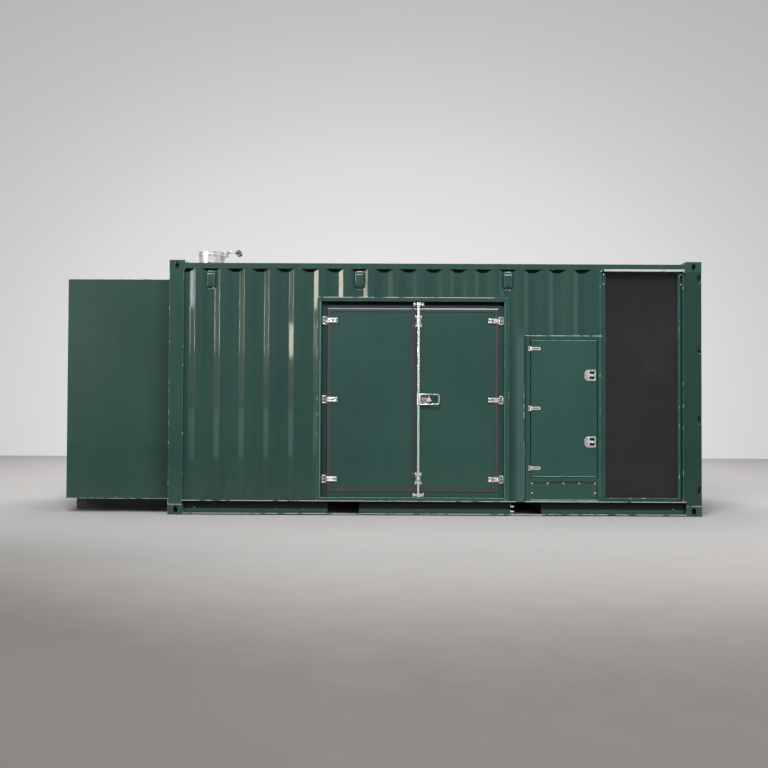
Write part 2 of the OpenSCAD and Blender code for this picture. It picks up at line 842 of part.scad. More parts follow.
// A guide: a foot on the leaf and a block with the bar's bore
module bar_guide(z) {
    foot_w = 86;
    foot_t = 6;
    block_w = 44;
    translate([lock_x, lock_y, z]) difference() {
        union() {
            block([-foot_w / 2, bar_off - foot_t, 0], [foot_w / 2, bar_off, guide_h]);
            block([-block_w / 2, -bar_r - 5, guide_h / 4], [block_w / 2, bar_off, guide_h * 3 / 4]);
        }
        translate([0, 0, -1]) cylinder(h = guide_h + 2, r = bar_r + fit);
    }
}

module guide_pair() {
    bar_guide(open_z0 + guide_inset);
    bar_guide(open_z1 - guide_inset - guide_h);
}

module lock_bar_guides() { color(steel) site() guide_pair(); }

// Keepers on the frame: a lug with a foot on each side of a cam
module keeper_set() {
    foot_t = 6;
    reach = bar_off + 6;
    foot_l = 14;
    right = lock_x + cam_reach + keeper_gap;
    left = lock_x - bar_r - cam_ring - 2 * keeper_gap;
    for (z = [cam_z0, cam_z1 - cam_h]) {
        block([right, band_y - reach, z], [right + keeper_lug, band_y, z + cam_h]);
        block([right + keeper_lug - 1, band_y - foot_t, z],
              [right + keeper_lug + foot_l, band_y, z + cam_h]);
        block([left - keeper_lug, band_y - reach, z], [left, band_y, z + cam_h]);
        block([left - keeper_lug - foot_l, band_y - foot_t, z],
              [left - keeper_lug + 1, band_y, z + cam_h]);
    }
}

module lock_keepers() { color(steel) site() keeper_set(); }

module back_doors() {
    color(green) site() mirror([0, 1, 0]) {
        leaf();
        right_hand() leaf();
    }
}

module back_door_fittings() {
    color(steel) site() mirror([0, 1, 0]) {
        door_base_set();
        door_strap_set();
        right_hand() {
            door_base_set();
            door_strap_set();
        }
        bar_and_cams();
        guide_pair();
        keeper_set();
        translate([lock_x, lock_y, handle_z]) handle();
    }
}

// ---- Control door ----

// Two jambs, a head, a rail below the door, and the sloping sill below the gland plate
module control_door_frame() {
    back = face_y + leaf_t;
    x0 = control_x + control_face;
    x1 = leaf_x1 + control_gap;
    color(green) site() {
        block([control_x, face_y, rail_top], [x0, back, control_top]);
        block([x1, face_y, rail_top], [control_x1, back, control_top]);
        block([x0 + seam, face_y, leaf_z1 + control_gap], [x1 - seam, back, control_top]);
        block([x0 + seam, face_y, gland_z1], [x1 - seam, back, control_z - control_gap]);
        along_x(x0 + seam, x1 - seam, [
            [face_y, rail_top], [face_y + gland_set, gland_z0], [back, gland_z0], [back, rail_top]
        ]);
    }
}

module gland_plate() {
    gland_t = 4;
    x0 = control_x + control_face + seam;
    x1 = leaf_x1 + control_gap - seam;
    y = face_y + gland_set;
    color(green) site() block([x0, y, gland_z0 + seam], [x1, y + gland_t, gland_z1 - seam]);
}

// The places of the two latches
module at_latches() {
    for (s = [-1, 1]) translate([0, 0, latch_mid + s * latch_spacing / 2]) children();
}

module control_door() {
    half_w = dish_w / 2 + dish_wall + seam;
    half_h = dish_h / 2 + dish_wall + seam;
    color(green) site() difference() {
        block([leaf_x0, face_y, control_z], [leaf_x1, face_y + leaf_t, leaf_z1]);
        at_latches()
            block([dish_x - half_w, face_y - 1, -half_h],
                  [dish_x + half_w, face_y + latch_depth + dish_wall + seam, half_h]);
    }
}

module control_door_straps() {
    color(steel) site() for (z = small_zs) translate([small_pin_x, small_pin_y, z])
        hinge_strap(small_strap_l, small_strap_h, small_face - small_plate_t, small_plate_t,
                    small_strap_l / 2, small_face, small_knuckle_r, small_pin_r);
}

// A latch: a plate with a pointed left side, the dish behind it and the paddle's pin
module latch_bodies() {
    point = 26;
    x0 = latch_x - latch_w / 2;
    x1 = latch_x + latch_w / 2;
    half = latch_h / 2;
    tip = half / 2;
    inner = [dish_w / 2, dish_h / 2];
    outer = [dish_w / 2 + dish_wall, dish_h / 2 + dish_wall];
    color(steel) site() at_latches() {
        difference() {
            union() {
                translate([0, face_y, 0]) rotate([90, 0, 0]) linear_extrude(latch_plate_t) polygon([
                    [x0, -tip], [x0 + point, -half], [x1, -half],
                    [x1, half], [x0 + point, half], [x0, tip]
                ]);
                block([dish_x - outer.x, face_y - 1, -outer.y],
                      [dish_x + outer.x, face_y + latch_depth + dish_wall, outer.y]);
            }
            block([dish_x - inner.x, face_y - latch_plate_t - 1, -inner.y],
                  [dish_x + inner.x, face_y + latch_depth, inner.y]);
        }
        translate([paddle_pin_x, paddle_pin_y, -inner.y]) cylinder(h = dish_h, r = paddle_pin_r);
    }
}

// A paddle: a plate that turns on the pin at its left edge
module paddle() {
    high = dish_h - 2 * paddle_gap;
    x1 = dish_x + dish_w / 2 - paddle_gap;
    difference() {
        union() {
            block([paddle_pin_x, face_y - latch_plate_t, -high / 2], [x1, face_y, high / 2]);
            translate([paddle_pin_x, paddle_pin_y, -high / 2])
                cylinder(h = high, r = paddle_knuckle_r);
        }
        translate([paddle_pin_x, paddle_pin_y, -high / 2 - 1])
            cylinder(h = high + 2, r = paddle_pin_r + fit);
    }
}

module upper_latch_paddle() {
    color(steel) site() translate([0, 0, latch_mid + latch_spacing / 2]) paddle();
}

module lower_latch_paddle() {
    color(steel) site() translate([0, 0, latch_mid - latch_spacing / 2]) paddle();
}

// ---- Air inlet ----

module inlet_frame() {
    back = inlet_y + inlet_depth;
    block([inlet_x0 + seam, inlet_y, rail_top], [screen_x0, back, top_rail_z0]);
    block([screen_x1, inlet_y, rail_top], [inlet_x1 - seam, back, top_rail_z0]);
    block([screen_x0 + seam, inlet_y, rail_top], [screen_x1 - seam, back, screen_z0]);
    block([screen_x0 + seam, inlet_y, screen_z1], [screen_x1 - seam, back, top_rail_z0]);
    block([inlet_x1, face_y, rail_top], [wall_x1 - seam, back, top_rail_z0]);
}

module inlet_frames() {
    back = inlet_y + inlet_depth;
    color(green) site() {
        both_sides() inlet_frame();
        block([inlet_x0 - jamb_w + seam, face_y, control_top + seam], [inlet_x0, back, top_rail_z0]);
        mirror([0, 1, 0])
            block([inlet_x0 - jamb_w + seam, face_y, rail_top], [inlet_x0, back, top_rail_z0]);
    }
}

module inlet_screens() {
    y = inlet_y + screen_set;
    color(black) site() both_sides()
        block([screen_x0 + seam, y, screen_z0 + seam],
              [screen_x1 - seam, y + screen_t, screen_z1 - seam]);
}

module drip_bars() {
    x0 = inlet_x0 + 16;
    z0 = top_rail_z0 - drip_h + 1;
    bar_t = 4;
    color(steel) site() both_sides() along_x(x0, inlet_x1 - seam, [
        [face_y - drip_out, z0], [face_y - drip_out + bar_t, z0],
        [face_y - drip_out + bar_t, z0 + drip_h - bar_t - 1], [inlet_y, z0 + drip_h - bar_t - 1],
        [inlet_y, z0 + drip_h - 1], [face_y - drip_out, z0 + drip_h - 1]
    ]);
}

// ---- Discharge hood ----

module hood_panels() {
    x1 = -end_x - seam;
    inner_y = hood_y - hood_t;
    color(green) site() {
        for (s = [0, 1]) mirror([0, s, 0])
            block([hood_x0, -hood_y, hood_z], [x1, -inner_y, hood_top]);
        block([hood_x0, -inner_y + seam, hood_z], [hood_x0 + hood_t, inner_y - seam, hood_top]);
        block([hood_x0 + hood_t + seam, -inner_y + seam, hood_z],
              [x1, inner_y - seam, hood_z + hood_t]);
    }
}

module hood_splitters() {
    count = 5;
    inside = 2 * (hood_y - hood_t);
    z1 = hood_top - grille_h - seam;
    color(grey) site() for (i = [1:count])
        translate([hood_x0 + hood_t + seam, -inside / 2 + i * inside / (count + 1) - splitter_t / 2,
                   z1 - splitter_h])
            cube([hood_l - hood_t - 2 * seam, splitter_t, splitter_h]);
}

// A frame with flat bars across, in the open top of the hood
module hood_grille() {
    bars = 10;
    edge = 30;
    bar_t = 5;
    x0 = hood_x0 + hood_t + seam;
    x1 = -end_x - seam;
    y = hood_y - hood_t - seam;
    z0 = hood_top - grille_h;
    color(green) site() {
        difference() {
            block([x0, -y, z0], [x1, y, hood_top]);
            block([x0 + edge, -y + edge, z0 - 1], [x1 - edge, y - edge, hood_top + 1]);
        }
        for (i = [1:bars])
            translate([x0 + i * (x1 - x0) / (bars + 1) - bar_t / 2, -y + edge - 1, z0])
                cube([bar_t, 2 * (y - edge + 1), grille_h]);
    }
}

module hood_plinth() {
    y = plinth_w / 2;
    x1 = -end_x - seam;
    inner = y - plinth_beam;
    color(black) site() {
        for (s = [0, 1]) mirror([0, s, 0]) block([hood_x0, -y, 0], [x1, -inner, hood_z]);
        block([hood_x0, -inner + seam, 0], [hood_x0 + plinth_beam, inner - seam, hood_z]);
        block([x1 - plinth_beam, -inner + seam, 0], [x1, inner - seam, hood_z]);
    }
}

// ---- Exhaust ----

module exhaust_collar() {
    z0 = top_rail_z1 + roof_depth + sheet_t;
    color(green) site() translate([stack_x, -stack_y, z0]) difference() {
        cylinder(h = collar_h, r = stack_r + collar_w);
        translate([0, 0, -1]) cylinder(h = collar_h + 2, r = stack_r + fit);
    }
}

module exhaust_stack() {
    z0 = top_rail_z1 - lining_t;
    ear_w = 40;
    ear_y = cap_knuckle_l / 2 + 1;
    ear_x = stack_r - 6;
    ear_clear = 10;
    color(steel) site() translate([stack_x, -stack_y, 0]) {
        difference() {
            union() {
                translate([0, 0, z0]) cylinder(h = stack_top - z0, r = stack_r);
                for (s = [0, 1]) mirror([0, s, 0]) {
                    block([ear_x, ear_y, stack_top - ear_w],
                          [cap_pin_x - stack_x + 10, ear_y + ear_t, stack_top - 1]);
                    block([stack_r + ear_clear, ear_y, stack_top - ear_w],
                          [cap_pin_x - stack_x + 10, ear_y + ear_t, cap_pin_z + 10]);
                }
            }
            translate([0, 0, z0 - 1]) cylinder(h = stack_top - z0 + 2, r = stack_r - stack_t);
        }
        translate([cap_pin_x - stack_x, ear_y + ear_t, cap_pin_z]) rotate([90, 0, 0])
            cylinder(h = 2 * (ear_y + ear_t), r = cap_pin_r);
    }
}

// The flap on its pin, with the arm and the counterweight beyond the hinge
module rain_cap() {
    arm_w = 24;
    weight_r = 26;
    dx = stack_x - cap_pin_x;
    color(steel) site() translate([cap_pin_x, -stack_y, cap_pin_z]) difference() {
        union() {
            translate([dx, 0, cap_z - cap_pin_z]) cylinder(h = cap_t, r = stack_r + 4);
            block([dx, -arm_w / 2, cap_z - cap_pin_z + cap_t - 1], [cap_arm, arm_w / 2, 8]);
            rotate([90, 0, 0])
                cylinder(h = cap_knuckle_l, r = cap_pin_r + 4, center = true);
            translate([cap_arm, 0, 0]) rotate([90, 0, 0])
                cylinder(h = 80, r = weight_r, center = true);
        }
        rotate([90, 0, 0]) cylinder(h = cap_knuckle_l + 2, r = cap_pin_r + fit, center = true);
    }
}

// ---- End doors ----

module end_doors() {
    x1 = end_x - end_set;
    x0 = x1 - end_t;
    stile = 60;
    meet = 4;
    dent = end_t - sheet_t - 6;
    width = end_leaf_y - meet;
    steps = 3;
    field = (width - 2 * stile) / steps;
    front = [for (i = [0:steps - 1]) each [
        [x1, meet + stile + (i + 0.2) * field], [x1 - dent, meet + stile + (i + 0.35) * field],
        [x1 - dent, meet + stile + (i + 0.65) * field], [x1, meet + stile + (i + 0.8) * field]
    ]];
    color(green) site() both_sides() mirror([0, 1, 0]) {
        translate([0, 0, end_z0]) linear_extrude(end_z1 - end_z0) polygon(concat(
            [[x0, meet], [x1, meet]], front, [[x1, end_leaf_y], [x0, end_leaf_y]]));
        for (z = [end_z0, end_z1 - stile])
            block([x0, meet, z], [x1, end_leaf_y, z + stile]);
    }
}

// Lugs in each notch of the end posts, the pin with its barrel, and the blade to the leaf
module end_door_hinges() {
    pin_x = end_x - notch_l / 2;
    pin_in = side_y - end_flange / 2;
    pin_r = 11;
    barrel_r = notch_l / 2 - 3;
    barrel_z = lug_t + 2;
    blade_t = 14;
    color(green) site() both_sides() for (z = notch_zs) {
        translate([0, 0, z]) {
            for (lug_z = [seam, notch_h - lug_t - seam])
                block([end_x - notch_l + seam, -side_y + 1, lug_z],
                      [end_x - 1, -side_y + end_flange - 1, lug_z + lug_t]);
            translate([pin_x, -pin_in, 2]) cylinder(h = notch_h - 4, r = pin_r);
            translate([pin_x, -pin_in, barrel_z]) cylinder(h = notch_h - 2 * barrel_z, r = barrel_r);
            block([end_x - end_set + seam, -pin_in, lug_t + 8],
                  [end_x - end_set + blade_t + seam, -end_leaf_y + 150, notch_h - lug_t - 8]);
        }
    }
}

// Two lock rods on each leaf, with a guide foot at four heights and a handle
module end_door_rods() {
    stand_off = rod_r + 4;
    x = end_x - end_set + stand_off;
    z0 = end_z0 - 60;
    z1 = end_z1 + 60;
    foot_h = 60;
    foot_w = 90;
    grip_z = end_z0 + 900;
    grip_l = 260;
    grip_h = 30;
    color(steel) site() both_sides() for (y = [-end_leaf_y * 0.3, -end_leaf_y * 0.72]) {
        translate([x, y, z0]) cylinder(h = z1 - z0, r = rod_r);
        for (f = [0.06, 0.35, 0.65, 0.94])
            translate([end_x - end_set + seam, y - foot_w / 2,
                       end_z0 + f * (end_z1 - end_z0) - foot_h / 2])
                cube([stand_off, foot_w, foot_h]);
        block([x - 4, y, grip_z], [x + 8, y + grip_l, grip_z + grip_h]);
    }
}

corner_castings();
corner_posts();
top_side_rails();
end_headers();
bottom_side_rails();
end_sills();
cross_members();
fork_pockets();
floor_plate();
roof_panel();
front_wall();
back_wall();
hood_end_wall();
wall_lining();
roof_lining();
ventilators();
front_door_frame();
back_door_frame();
left_door();
left_door_seal();
left_door_straps();
right_door();
right_door_seal();
right_door_straps();
hinge_bases();
lock_bar();
lock_handle();
lock_bar_guides();
lock_keepers();
back_doors();
back_door_fittings();
control_door_frame();
control_door();
control_door_straps();
latch_bodies();
upper_latch_paddle();
lower_latch_paddle();
gland_plate();
inlet_frames();
inlet_screens();
drip_bars();
hood_panels();
hood_splitters();
hood_grille();
hood_plinth();
exhaust_collar();
exhaust_stack();
rain_cap();
end_doors();
end_door_hinges();
end_door_rods();
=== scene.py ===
# Looks of the silent generator set: materials, rounded bends and the small pieces that
# the CAD part leaves out. Places are in metres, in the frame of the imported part; the
# outlines of small pieces are in mm from the place that they stand on.
import math

import bpy
from mathutils import Matrix, Vector, noise


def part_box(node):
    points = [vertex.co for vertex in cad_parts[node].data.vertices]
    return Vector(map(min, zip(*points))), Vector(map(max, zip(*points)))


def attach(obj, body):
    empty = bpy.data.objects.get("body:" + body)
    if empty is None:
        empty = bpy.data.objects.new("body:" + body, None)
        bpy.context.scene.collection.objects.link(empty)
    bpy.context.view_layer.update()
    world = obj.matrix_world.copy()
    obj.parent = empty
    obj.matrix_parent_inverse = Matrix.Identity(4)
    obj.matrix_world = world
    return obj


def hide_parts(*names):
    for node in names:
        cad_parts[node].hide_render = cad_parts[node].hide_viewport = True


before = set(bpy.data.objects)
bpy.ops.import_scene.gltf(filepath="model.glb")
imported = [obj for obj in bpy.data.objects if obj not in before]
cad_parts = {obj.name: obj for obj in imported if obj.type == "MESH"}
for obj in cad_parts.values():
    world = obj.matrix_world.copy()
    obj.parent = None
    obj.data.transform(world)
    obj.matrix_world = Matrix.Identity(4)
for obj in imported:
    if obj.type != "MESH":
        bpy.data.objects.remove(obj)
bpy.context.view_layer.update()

MM = 0.001

# ---------------------------------------------------------------- colours (linear)

GREEN = (0.021, 0.069, 0.056)
GREEN_DARK = (0.016, 0.056, 0.046)
PRIMER = (0.42, 0.47, 0.45)
DUST = (0.115, 0.125, 0.115)
STEEL = (0.87, 0.86, 0.85)
PLATE = (0.42, 0.41, 0.39)
CHROME = (0.84, 0.83, 0.84)
BRIGHT = (0.95, 0.94, 0.93)
FOIL = (0.93, 0.93, 0.93)
CREASE_SHADE = (0.09, 0.09, 0.09)
SOOT = (0.035, 0.036, 0.034)
HINGE_SHADE = (0.009, 0.012, 0.010)
SHADOW_BLACK = (0.0065, 0.006, 0.0055)
RAIL_WEB_SHADOW = (0.0125, 0.0145, 0.0125)
SHADE = (0.0105, 0.0345, 0.028)
RIB_SHEEN = (0.040, 0.092, 0.080)
RUBBED_HIGHLIGHT = (0.135, 0.300, 0.290)
LEFT_BULB_HIGHLIGHT = (0.34, 0.35, 0.42)
RIGHT_BULB_HIGHLIGHT = (0.62, 0.64, 0.72)
DRIP = (0.62, 0.60, 0.60)
ZINC = (0.42, 0.44, 0.45)
RUBBER = (0.040, 0.039, 0.044)
BLACK = (0.014, 0.014, 0.015)
BRONZE = (0.055, 0.045, 0.033)
SCREEN = (0.0215, 0.0215, 0.0245)
LINING = (0.48, 0.49, 0.50)
WOOL = (0.03, 0.03, 0.03)
FLOOR_NEAR = (0.565, 0.548, 0.537)
FLOOR_FAR = (0.165, 0.155, 0.15)
WHITE = (1.0, 1.0, 1.0)
WARM = (1.0, 0.93, 0.76)
COOL = (0.80, 0.93, 1.0)
SEA = (0.50, 1.0, 0.90)

# ---------------------------------------------------------------- planes of the front side

FACE = -1.219  # posts, rails and frames
EDGE = 0.0035  # how far the face's rolled edges go back
RIM = FACE + EDGE / 2  # the middle of a bead that lies on such an edge
LEAF_FACE = -1.162  # the leaves of the double doors
RECESSED = 1.2165  # from here to the middle a surface lies behind the face
BESIDE_FRAME = 0.018  # from the control door's frame to the wall's nearest fold
FOLD_FOOT = (0.21, 0.845)  # where a pale bead on that fold is a painted highlight
FOLD_MIDDLE = (0.85, 1.48)  # where a bright bead stands for the glint on that fold: a painted highlight


def scaled(colour, factor):
    return tuple(factor * c for c in colour)


def spread(low, high, count):
    """Evenly spaced values from low to high."""
    return [low + (high - low) * i / (count - 1) for i in range(count)]


# ---------------------------------------------------------------- shader nodes


class Graph:
    """Short names for building a node tree."""

    def __init__(self, tree):
        self.tree = tree

    def put(self, socket, value):
        """Links another node's output to a socket, or sets the socket's own value."""
        if isinstance(value, bpy.types.NodeSocket):
            self.tree.links.new(value, socket)
        elif socket.type == "RGBA" and len(value) == 3:
            socket.default_value = (*value, 1.0)
        else:
            socket.default_value = value

    def add(self, kind, inputs=None, family="ShaderNode", **settings):
        """A node with its settings, and its inputs by name or number."""
        node = self.tree.nodes.new(family + kind)
        for name, value in settings.items():
            setattr(node, name, value)
        for name, value in (inputs or {}).items():
            self.put(node.inputs[name], value)
        return node

    def math(self, operation, a, b=0.0):
        return self.add("Math", {0: a, 1: b}, operation=operation).outputs[0]

    def times(self, *values):
        product = values[0]
        for value in values[1:]:
            product = self.math("MULTIPLY", product, value)
        return product


class Nodes(Graph):
    """A material, and the textures and tones that it is built from."""

    def __init__(self, name):
        self.material = bpy.data.materials.new(name)
        self.material.use_nodes = True
        super().__init__(self.material.node_tree)
        self.shader = self.tree.nodes["Principled BSDF"]
        self.coords = self.add("TexCoord").outputs["Object"]

    def set(self, **values):
        """Sets sockets of the Principled shader; an underscore stands for a space."""
        for name, value in values.items():
            self.put(self.shader.inputs[name.replace("_", " ")], value)

    def stretched(self, stretch):
        return self.add("Mapping", {"Vector": self.coords, "Scale": stretch}).outputs[0]

    def noise(self, scale, detail=3.0, rough=0.5, stretch=(1.0, 1.0, 1.0)):
        inputs = {"Vector": self.stretched(stretch), "Scale": scale}
        inputs.update({"Detail": detail, "Roughness": rough})
        return self.add("TexNoise", inputs).outputs["Fac"]

    def cells(self, scale, stretch=(1.0, 1.0, 1.0), feature="F1"):
        inputs = {"Vector": self.stretched(stretch), "Scale": scale}
        return self.add("TexVoronoi", inputs, feature=feature).outputs["Distance"]

    def span(self, value, low, high, out_low=0.0, out_high=1.0):
        """The value's place between low and high, from out_low to out_high, clamped."""
        inputs = {"Value": value, "From Min": low, "From Max": high}
        inputs.update({"To Min": out_low, "To Max": out_high})
        return self.add("MapRange", inputs, interpolation_type="SMOOTHSTEP").outputs[0]

    def mix(self, factor, a, b):
        """The value a where the factor is 0 and b where it is 1."""
        return self.span(factor, 0.0, 1.0, a, b)

    def blend(self, factor, a, b):
        """Colour a where the factor is 0 and colour b where it is 1."""
        return self.add("Mix", {0: factor, 6: a, 7: b}, data_type="RGBA").outputs[2]

    def place(self):
        """The three coordinates of the point, in the part's frame at rest."""
        return list(self.add("SeparateXYZ", {0: self.coords}).outputs)

    def recessed(self, y, depth=RECESSED):
        """1 where a surface lies behind the face of the front or the back side."""
        return self.math("LESS_THAN", self.math("ABSOLUTE", y), depth)

    def bump(self, height, distance, normal=None):
        inputs = {"Height": height, "Distance": distance, "Strength": 1.0}
        if normal is not None:
            inputs["Normal"] = normal
        return self.add("Bump", inputs).outputs[0]

    def worn_edge(self, radius):
        """About 1 on edges sharper than the radius and 0 on flat faces."""
        rounded = self.add("Bevel", {"Radius": radius}, samples=4).outputs[0]
        flat = self.add("NewGeometry").outputs["Normal"]
        dot = self.add("VectorMath", {0: rounded, 1: flat}, operation="DOT_PRODUCT")
        return self.span(dot.outputs["Value"], 0.99, 0.86)


# ---------------------------------------------------------------- painted shadow, shade and sheen

TOP_RAIL_UNDERSIDE = 2.802
RAIL_WEB_SHADOW_FOOT = (0.066, 0.072)
RAIL_WEB_SHADOW_HEAD = (0.152, 0.147)
HEAD_SHADOW_FOOT = (2.392, 2.396)
HEAD_SHADOW_TOP = (2.447, 2.443)
HEAD_SHADOW_DEPTH = 1.2145
POST_START = (3.402, 3.408)
STILE_END = (-0.60, -0.66)
RIB_LEFT = (1.50, 1.54)
RIB_RIGHT = (1.605, 1.600)
RIB_OUTSIDE = -1.2
RIB_SHEEN_HEIGHTS = (2.3, 1.9)
HOOD_CORNER = (-2.75, -2.44)
HOOD_HEAD = (2.6, 1.6)
CAP_ARM = (-1.895, -1.875)
LATCH_DISH = (-1.2212, -1.2205)
SCREEN_SHADE_HEIGHTS = (2.0, 2.7)
WEAVE = 9.0 * MM


def shadow_under_top_rail(n):
    """Painted shadow: near black on the corrugations' valleys under the top rail, in the
    trapezoids that the rail's shadow takes.
    """
    y, z = n.place()[1:]
    depth = n.math("SUBTRACT", -FACE, n.math("ABSOLUTE", y))
    drop = n.math("SUBTRACT", TOP_RAIL_UNDERSIDE, z)
    wall = n.math("LESS_THAN", z, TOP_RAIL_UNDERSIDE + MM)
    return n.times(wall, n.math("LESS_THAN", drop, n.times(depth, 1.05)))


def shadow_on_rail_web(n):
    """Painted shadow: near black on the upper part of the bottom rail's web, under its top
    flange.
    """
    y, z = n.place()[1:]
    return n.times(n.recessed(y), n.span(z, *RAIL_WEB_SHADOW_FOOT), n.span(z, *RAIL_WEB_SHADOW_HEAD))


def shadow_under_frame_head(n):
    """Painted shadow: near black in the recess under a door frame's head."""
    y, z = n.place()[1:]
    inside = n.recessed(y, HEAD_SHADOW_DEPTH)
    return n.times(inside, n.span(z, *HEAD_SHADOW_FOOT), n.span(z, *HEAD_SHADOW_TOP))


def shade_on_end_post(n):
    """Painted shade: the end post's face is coloured darker than the rest."""
    return n.times(n.span(n.place()[0], *POST_START), 0.85)


def left_stile(n):
    """The left stile of a door frame, which lies in the shade of its own fold."""
    x, y = n.place()[:2]
    return n.times(n.span(x, *STILE_END), n.recessed(y), 0.9)


def sheen_between_doors(n):
    """Painted sheen: the rib of the wall between the double doors and the control door is paler
    and greyer, fading out upwards.
    """
    x, y, z = n.place()
    outside = n.math("LESS_THAN", y, RIB_OUTSIDE)
    return n.times(n.span(x, *RIB_LEFT), n.span(x, *RIB_RIGHT), n.span(z, *RIB_SHEEN_HEIGHTS), outside)


def shade_beside_post(n):
    """Painted shade: the hood's panel is darker in the corner beside the container's post."""
    x, z = n.place()[::2]
    return n.times(n.span(x, *HOOD_CORNER), n.span(z, *HOOD_HEAD, 0.35, 0.75))


# ---------------------------------------------------------------- materials


def green_paint(name, wear=0.0, wave=1.6 * MM, streaks=0.5, spots=0.0, light=1.0,
                tarred=None, tar=SHADOW_BLACK, shaded=None, darker=SHADE):
    """Semi-gloss dark green coach paint on rolled steel sheet. Wear chips the edges and
    spots chips it all over. A painted shadow mask gives its part near black without coat
    instead, and shaded gives its part another tone as painted shade or a painted sheen.
    A light of 1.6 and more gives a lighter copy of the green, which is a painted highlight."""
    n = Nodes(name)
    height = n.place()[2]
    patches = n.noise(0.9, detail=4.0)
    runs = n.noise(5.0, detail=3.0, stretch=(1.0, 1.0, 0.08))
    grime = n.span(height, 0.75, 0.10, 0.0, 0.35)
    tone = n.math("ADD", n.times(patches, 1.0 - streaks), n.times(runs, streaks))
    colour = n.blend(n.span(tone, 0.30, 0.70), scaled(GREEN_DARK, light), scaled(GREEN, light))
    speckle = n.noise(38.0, detail=5.0, rough=0.7)
    colour = n.blend(n.times(grime, n.span(speckle, 0.45, 0.75)), colour, DUST)
    if wear > 0.0:
        chips = n.span(n.noise(26.0, detail=6.0, rough=0.75), 0.60 - 0.16 * wear, 0.62)
        chips = n.times(n.worn_edge(5 * MM), chips)
        colour = n.blend(chips, colour, PRIMER)
    if spots > 0.0:
        flakes = n.noise(9.0, detail=8.0, rough=0.7)
        flakes = n.span(flakes, 0.66 - 0.3 * spots, 0.70 - 0.3 * spots)
        colour = n.blend(flakes, colour, PRIMER)
    coat = 0.30
    gloss = 0.22
    # Painted shadow: near black, without coat and almost without gloss.
    if tarred:
        black = tarred(n)
        colour = n.blend(black, colour, tar)
        coat = n.mix(black, coat, 0.0)
        gloss = n.mix(black, gloss, 0.05)
    # Painted shade or a painted sheen, blended in as another tone.
    if shaded:
        colour = n.blend(shaded(n), colour, darker)
    orange_peel = n.bump(n.noise(160.0, detail=2.0), 0.10 * MM)
    buckle = n.bump(n.noise(1.6, detail=1.5, stretch=(1.0, 1.0, 0.6)), wave, orange_peel)
    rough = n.span(n.noise(7.0, detail=4.0), 0.25, 0.75, 0.38, 0.50)
    n.set(Base_Color=colour, Roughness=rough, Normal=buckle)
    n.set(Specular_IOR_Level=gloss, Coat_Weight=coat, Coat_Roughness=0.06)
    return n.material


def rubbed_paint(name, light=1.0):
    """Pale paint on folded edges and ledges: partly rubbed paint and partly a painted highlight.
    """
    n = Nodes(name)
    rubs = n.noise(12.0, detail=5.0, rough=0.6)
    tones = scaled(RUBBED_HIGHLIGHT, 0.75 * light), scaled(RUBBED_HIGHLIGHT, 1.35 * light)
    n.set(Base_Color=n.blend(n.span(rubs, 0.3, 0.7), *tones))
    n.set(Roughness=n.span(rubs, 0.2, 0.8, 0.45, 0.65))
    return n.material


def dull_hinge(name):
    """Dark green paint without any gloss, near black in patches: painted shade on the hinges in
    the posts' notches.
    """
    n = Nodes(name)
    grease = n.span(n.noise(14.0, detail=4.0), 0.40, 0.65)
    n.set(Base_Color=n.blend(grease, GREEN_DARK, HINGE_SHADE))
    n.set(Roughness=n.mix(grease, 0.75, 0.95), Specular_IOR_Level=0.05)
    return n.material


def brushed_metal(name, colour, low, high, metallic=0.8):
    """Bright metal with soft stains and fine upright scratches in its gloss."""
    n = Nodes(name)
    scratches = n.noise(420.0, detail=4.0, stretch=(1.0, 1.0, 12.0))
    stains = n.noise(9.0)
    tint = n.blend(n.span(stains, 0.42, 0.72), colour, scaled(colour, 0.75))
    rough = n.math("ADD", n.span(stains, 0.3, 0.7, low, high), n.times(scratches, 0.05))
    n.set(Base_Color=tint, Roughness=rough, Metallic=metallic)
    return n.material


def cap_steel(name):
    """The rain cap: bright flap, and a sooty arm and weight with bright patches."""
    n = Nodes(name)
    arm = n.span(n.place()[0], *CAP_ARM)
    sooty = n.times(arm, n.span(n.noise(26.0, detail=4.0), 0.56, 0.46))
    n.set(Base_Color=n.blend(sooty, CHROME, SOOT))
    n.set(Roughness=n.mix(sooty, 0.42, 0.55), Metallic=n.mix(sooty, 0.35, 0.1))
    return n.material


def foil(name):
    """White crinkled wrap whose creases are darkened in patches with painted shade."""
    n = Nodes(name)
    crease = n.cells(34.0, stretch=(1.0, 1.0, 1.6), feature="DISTANCE_TO_EDGE")
    patches = n.span(n.noise(16.0, detail=4.0, rough=0.7), 0.50, 0.60)
    dark = n.times(n.span(crease, 0.09, 0.03), patches)
    n.set(Base_Color=n.blend(dark, FOIL, CREASE_SHADE), Roughness=0.60)
    n.set(Normal=n.bump(crease, 3.0 * MM))
    return n.material


def latch_plate(name):
    """Chrome in front, and black inside the dish as painted shade."""
    n = Nodes(name)
    inside = n.span(n.place()[1], *LATCH_DISH)
    stains = n.span(n.noise(30.0, detail=5.0), 0.4, 0.75)
    chrome = n.blend(stains, CHROME, scaled(CHROME, 0.75))
    n.set(Base_Color=n.blend(inside, chrome, BLACK), Roughness=n.mix(stains, 0.14, 0.3))
    n.set(Metallic=n.mix(inside, 0.8, 0.0))
    return n.material


def zinc(name):
    """Hot-dip galvanised steel: soft grey with spangles."""
    n = Nodes(name)
    spangle = n.cells(70.0)
    tint = n.blend(n.span(spangle, 0.1, 0.8), ZINC, scaled(ZINC, 0.72))
    rough = n.span(spangle, 0.0, 0.9, 0.36, 0.55)
    n.set(Base_Color=tint, Roughness=rough, Metallic=0.85)
    n.set(Normal=n.bump(n.noise(90.0), 0.15 * MM))
    return n.material


